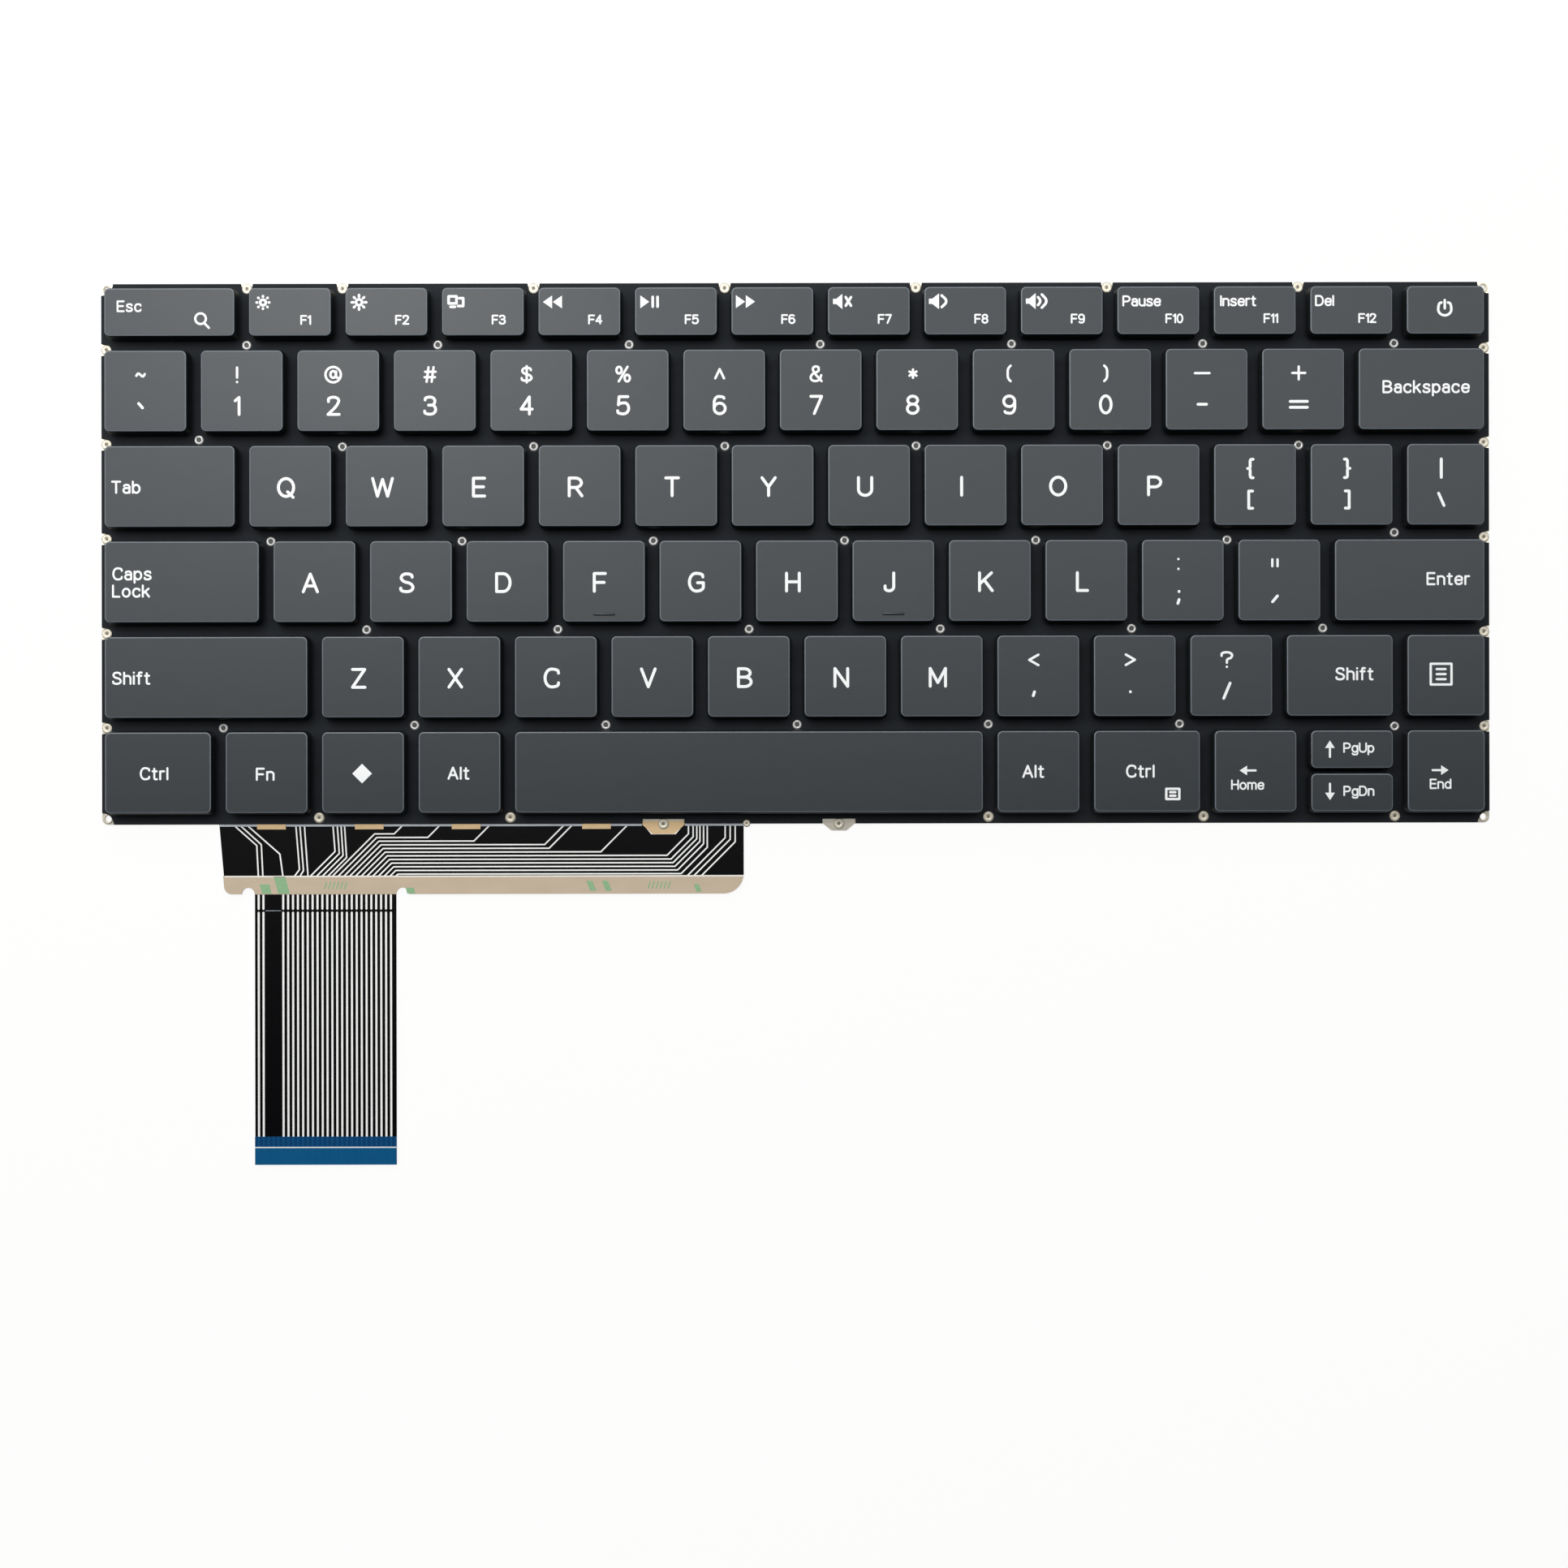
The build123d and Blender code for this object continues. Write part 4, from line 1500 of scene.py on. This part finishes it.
    def sheet_outline(self) -> np.ndarray:
        """Walks round the cover sheet anticlockwise, from notch to notch and round each cut corner.

        Returns:
            The outline's points by two.
        """
        (left, front), (right, back) = self.low + self.margin, self.high - self.margin
        sides = self.eyelets.side_places()
        ears = [
            rectangle(x - half, front, x + half, front + self.ear_notch)[[0, 3, 2, 1]]
            for x, half in zip(self.ear_xs, self.ear_halves)
        ]
        return np.vstack([
            *ears,
            arc(right, front, self.corner_notch, pi, pi / 2),
            self.edge_run(sides[::-1], right, pi / 2),
            arc(right, back, self.corner_notch, 3 * pi / 2, pi),
            self.edge_run(self.eyelets.along(self.eyelets.back_units)[::-1], back, pi),
            arc(left, back, self.corner_notch, 2 * pi, 3 * pi / 2),
            self.edge_run(sides, left, 3 * pi / 2),
            arc(left, front, self.corner_notch, pi / 2, 0.0),
        ])

    def film_outline(self) -> np.ndarray:
        """Walks round the flap and the tail anticlockwise, with their round corners and relief notches.

        Returns:
            The outline's points by two.
        """
        y, relief, left = self.flap_front, self.relief, self.flap_left + self.flap_slant
        left_round, right_round = self.flap_left_round, self.flap_right_round
        back = self.front + self.margin + self.tuck
        half, (tip, reach) = self.ear_halves[0], self.ear_tip
        side = np.array([[half, back], [half, self.front], [tip, self.front - reach]])
        return np.vstack([
            [[self.flap_left, back]],
            arc(left + left_round, y + left_round, left_round, pi, 3 * pi / 2),
            arc(self.tail_left - relief, y, relief, pi, 0.0),
            [[self.tail_left, self.tail_end], [self.tail_right, self.tail_end]],
            arc(self.tail_right + relief, y, relief, pi, 0.0),
            arc(self.flap_right - right_round, y + right_round, right_round, -pi / 2, 0.0),
            [[self.flap_right, back]],
            np.vstack([side, side[::-1] * (-1, 1)]) + (self.ear_xs[0], 0.0),
        ])

    def flap_traces(self) -> list[np.ndarray]:
        """Routes the traces from the sheet's front edge to the liner.

        Three fans at the left come down with one bend or none. The main bundle comes up from the liner
        at 45 degrees, runs along the flap in level lines, and each line climbs to its own place on the
        edge. A last fan at the right goes back to the liner with one bend.

        Returns:
            Each trace as points by two.
        """
        top, foot = self.front - self.trace_start, self.liner_back - self.lap
        paths = []
        for start, *bend, end in self.left_traces:
            paths.append([(start, top), *zip(bend[:1], bend[1:]), (end, foot)])
        for x, bend, drift in self.fans:
            paths.append([(x, top), (x + drift, bend), (x + drift + foot - bend, foot)])
        for row, (climb, crest) in enumerate(self.climbs):
            x, y = np.array(self.bundle_start) + row * np.array(self.bundle_step)
            crest = top if crest is None else crest
            peak = climb + crest - y
            paths.append([(x + foot - y, foot), (x, y), (climb, y), (peak, crest), (peak, top)])
        return [np.array(path) for path in paths]

    def conductors(self) -> np.ndarray:
        """The X of the tail's conductors: two at its left side, a bare stripe, then the main set."""
        main = self.first_conductor + self.conductor_pitch * np.arange(self.conductor_count)
        return np.concatenate([self.outer_conductors, main])

    def build(self) -> None:
        """Builds the sheet, the film, the printed silver and the small parts along the front edge."""
        sheet = Surface.prism(self.sheet_outline(), self.plate_z, self.sheet_z)
        sheet.piece("cover_sheet", "base", "membrane_film", [COVER_FILM], ("membrane",))
        film = Surface.prism(self.film_outline(), self.plate_z, self.film_z)
        film.piece("circuit_film", "base", "membrane_film", [CIRCUIT_FILM], ())
        print_z = self.film_z + PRINT_LIFT
        traces = [capsules(path[:-1], path[1:], self.trace, print_z) for path in self.flap_traces()]
        x = self.conductors()
        room = (self.splice + self.conductor) / 2
        upper = (self.flap_front + self.conductor_start, self.splice_y + room)
        lower = (self.splice_y - room, self.stiffener_back - self.tuck)
        for top, foot in (upper, lower):
            traces.append(capsules(paired(x, top), paired(x, foot), self.conductor, print_z))
        Surface.join(traces).piece("silver_traces", "base", "membrane_film", [SILVER_INK], ())
        self.build_edge()

    def build_edge(self) -> None:
        """Builds the pale film edge, the tan pads and the tan label on the left ear."""
        y, z, ear = self.front, self.film_z, self.ear_xs[0]
        left = (self.flap_left + self.lap, ear - self.ear_clear)
        right = (ear + self.ear_clear, self.flap_right)
        runs = (left, right)
        strips = [rectangle(start, y - self.edge_depth, end, y + self.lap) for start, end in runs]
        start, end = self.outer_conductors[-1] + self.conductor, self.first_conductor - self.conductor
        half = self.splice_line / 2
        strips.append(rectangle(start, self.splice_y - half, end, self.splice_y + half))
        low, high = self.edge_heights
        edge = Surface.join([Surface.prism(strip, z + low, z + high) for strip in strips])
        edge.piece("film_edge", "base", "membrane_film", [FILM_EDGE], ())
        pads = [rectangle(x, y - self.pad_depth, x + self.pad_width, y + self.lap) for x in self.pad_xs]
        solid = Surface.join([Surface.prism(pad, z, z + self.pad_height) for pad in pads])
        solid.piece("edge_pads", "base", "membrane_film", [PAD_TAN], ())
        side = np.array(self.label_side)
        outline = np.vstack([side * (-1, 1), side[::-1]]) + (ear, y)
        label = Surface.prism(outline, self.plate_z, self.label_z)
        label.piece("ear_label", "base", "plate_metal", [PAD_TAN], ())


@dataclass
class TailEnds:
    """The dressed liner on the flap, and the stiffener on the tail with its white line.

    Each bar of the liner's print is its left end, width, foot above the flap's edge, height and lean.
    """

    membrane: Membrane
    line_y: float = -118.25
    line_width: float = 0.22
    ghost_width: float = 0.34
    rim_highlight_width: float = 0.3
    bars: tuple[tuple[float, ...], ...] = (
        (-106.4, 1.9, 0.1, 1.9, 0.5),
        (-103.2, 2.3, 0.1, 3.4, 0.9),
        (-77.5, 1.6, 0.1, 1.2, 0.3),
        (-41.0, 1.2, 0.6, 2.0, 0.8),
        (-37.9, 1.2, 0.6, 2.0, 0.8),
        (-19.8, 1.0, 0.4, 1.5, 0.6),
    )
    tick_groups: tuple[float, ...] = (-94.0, -29.5)
    tick_count: int = 6
    tick_pitch: float = 0.8
    tick_foot: float = 1.1
    tick_run: tuple[float, float] = (0.45, 1.3)
    tick_width: float = 0.24

    def dress(self) -> None:
        """Gives the liner and the stiffener their finishes, and adds their prints."""
        film = self.membrane
        stiffener = ContactFilm(
            "stiffener_film",
            (12, 90, 136),
            (8, 78, 122),
            0.4,
            0.14,
            specular=0.15,
            mottle=(0.5, 6.0, 1.0),
            first_x=film.first_conductor,
            pitch=film.conductor_pitch,
            line_width=self.ghost_width,
            until_y=self.line_y,
        )
        for node, finish in (("tape_liner", LINER_PAPER), ("tail_stiffener", stiffener)):
            dress_node(node, finish)
        z = node_box("tail_stiffener")[1][2] + PRINT_LIFT
        half = self.line_width / 2
        line = rectangle(film.tail_left, self.line_y - half, film.tail_right, self.line_y + half)
        print_line = Surface.polygons(at_height(line, z)[None])
        print_line.piece("stiffener_line", "base", "stiffener_blue", [LEGEND_INK], ())
        self.print_liner()

    def print_liner(self) -> None:
        """Prints leaning bars and ticks on the liner, and paints a highlight along its back rim."""
        film = self.membrane
        z = node_box("tape_liner")[1][2] + PRINT_LIFT
        x, width, foot, height, lean = np.array(self.bars).T
        low = foot + film.flap_front
        high = low + height
        corners = [(x, low), (x + width, low), (x + width - lean, high), (x - lean, high)]
        bars = np.stack([paired(*corner) for corner in corners], axis=1)
        ticks = np.array(self.tick_groups)[:, None] + np.arange(self.tick_count) * self.tick_pitch
        feet = paired(ticks.ravel(), film.flap_front + self.tick_foot)
        strokes = capsules(feet, feet + self.tick_run, self.tick_width, z)
        left, back = film.flap_left + film.flap_slant, film.liner_back
        # A painted highlight along the liner's back rim.
        rim = at_height(rectangle(left, back - self.rim_highlight_width, film.flap_right, back), z)
        marks = [Surface.polygons(at_height(bars, z)), strokes, Surface.polygons(rim[None], 1)]
        Surface.join(marks).piece("liner_print", "base", "liner_paper", [LINER_PRINT, LINER_RIM_HIGHLIGHT], ())


def dress_node(node: str, finish: Finish) -> None:
    """Gives a CAD node that stays in view its finish.

    Args:
        node: The node's name.
        finish: The finish.
    """
    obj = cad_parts[node]
    obj.data.materials.clear()
    obj.data.materials.append(material_of(finish))
    log.info("%s: dressed in %s", node, finish.name)


# Studio


@dataclass(frozen=True)
class Lamp:
    """A soft rectangular lamp: its place and aim in metres, its width and height, and its watts."""

    name: str
    place: tuple[float, float, float]
    aim: tuple[float, float, float]
    size: tuple[float, float]
    power: float

    def hang(self) -> None:
        """Hangs the lamp in its place and turns its face to its aim."""
        light = bpy.data.lights.new(self.name, "AREA")
        light.shape = "RECTANGLE"
        light.size, light.size_y = self.size
        light.energy = self.power
        x, y, z = np.array(self.aim) - np.array(self.place)
        lamp = linked(self.name, light)
        lamp.location = self.place
        lamp.rotation_euler = (atan2(hypot(x, y), -z), 0.0, atan2(-x, y))


LAMPS = (
    Lamp("panel_above", (-0.09, 0.295, 0.45), (-0.09, 0.295, 0.0), (1.2, 0.6), 4.7),
    Lamp("key_light", (-0.2, 0.24, 0.5), (0.0, 0.0, 0.0), (0.14, 0.14), 0.42),
    Lamp("panel_left", (-0.312, 0.292, 0.5), (-0.112, 0.042, 0.0), (0.4, 0.4), 0.37),
    Lamp("strip_back", (-0.2, 0.85, 0.4), (0.0, 0.0, 0.0), (1.0, 0.2), 3.6),
    Lamp("strip_left", (-0.9, 0.0, 0.4), (0.0, 0.0, 0.0), (0.6, 0.2), 1.4),
)


@dataclass
class Studio:
    """The pale floor, the soft light and the camera straight above."""

    camera_at: tuple[float, float, float] = (-2.35, -46.0, 330.0)
    camera_turn: float = -0.0018
    plane_z: float = 4.0
    frame_width: float = 309.5
    sensor: float = 36.0
    near: float = 0.01
    floor_half: float = 12000.0
    floor_z: float = -0.02
    floor_cloud: float = 300.0
    floor_pale: tuple[float, ...] = (0.93, 0.93, 0.92, 1.0)
    floor_shade: tuple[float, ...] = (0.9, 0.9, 0.89, 1.0)
    floor_glow: tuple[float, ...] = (1.0, 1.0, 0.995, 1.0)
    glow_share: float = 0.93
    world_strength: float = 0.04

    def floor_material(self) -> bpy.types.Material:
        """Makes a white floor that glows to the camera and in gloss, less where it is in shade.

        Returns:
            The floor's material.
        """
        shader = Shader("floor_white")
        clouds = shader.noise((self.floor_cloud,) * 3)
        paint = shader.mix(clouds, self.floor_pale, self.floor_shade)
        lit = shader.node("ShaderNodeBsdfDiffuse", None, {"Color": paint})
        glow = shader.node("ShaderNodeEmission", None, {"Color": self.floor_glow, "Strength": 1.0})
        share = white_rays(shader) * self.glow_share
        return shader.close(shader.node("ShaderNodeMixShader", None, {0: share, 1: lit, 2: glow}))

    def world(self) -> None:
        """Fills the surroundings with an even white light."""
        world = bpy.data.worlds.new("studio_world")
        bpy.context.scene.world = world
        world.use_nodes = True
        sockets = world.node_tree.nodes["Background"].inputs
        sockets["Strength"].default_value = self.world_strength
        sockets["Color"].default_value = (1, 1, 1, 1)

    def build(self) -> None:
        """Lays the floor, hangs the lamps and sets up the camera."""
        half = self.floor_half
        square = at_height(rectangle(-half, -half, half, half), self.floor_z) * MM
        mesh = bpy.data.meshes.new("floor")
        mesh.from_pydata(square.tolist(), [], [[0, 1, 2, 3]])
        mesh.materials.append(self.floor_material())
        floor = linked("floor", mesh)
        self.world()
        for lamp in LAMPS:
            lamp.hang()
        camera = bpy.data.cameras.new("camera")
        camera.sensor_width = self.sensor
        camera.lens = self.sensor * (self.camera_at[2] - self.plane_z) / self.frame_width
        camera.clip_start = self.near
        view = linked("camera", camera)
        view.location = np.array(self.camera_at) * MM
        view.rotation_euler.z = self.camera_turn
        bpy.context.scene.camera = view
        bpy.context.scene.view_settings.view_transform = "Standard"


def white_rays(shader: Shader) -> Value:
    """One for rays from the camera, from gloss and through clear things.

    Args:
        shader: The material to add nodes to.

    Returns:
        One for those rays and zero for diffuse light.
    """
    seen = shader.node("ShaderNodeLightPath", output="Is Camera Ray")
    gloss = shader.node("ShaderNodeLightPath", output="Is Glossy Ray")
    clear = shader.node("ShaderNodeLightPath", output="Is Transmission Ray")
    return seen + gloss + clear


def main() -> None:
    """Builds the keyboard from the plate upwards, and then the studio."""
    logging.basicConfig(level=logging.INFO, format="%(name)s %(message)s")
    dress_node("base_plate", PLATE_METAL)
    eyelets = Eyelets()
    membrane = Membrane(eyelets)
    membrane.build()
    TailEnds(membrane).dress()
    eyelets.build(membrane)
    KeyField().build()
    Studio().build()
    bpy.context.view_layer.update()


if __name__ == "__main__":
    main()
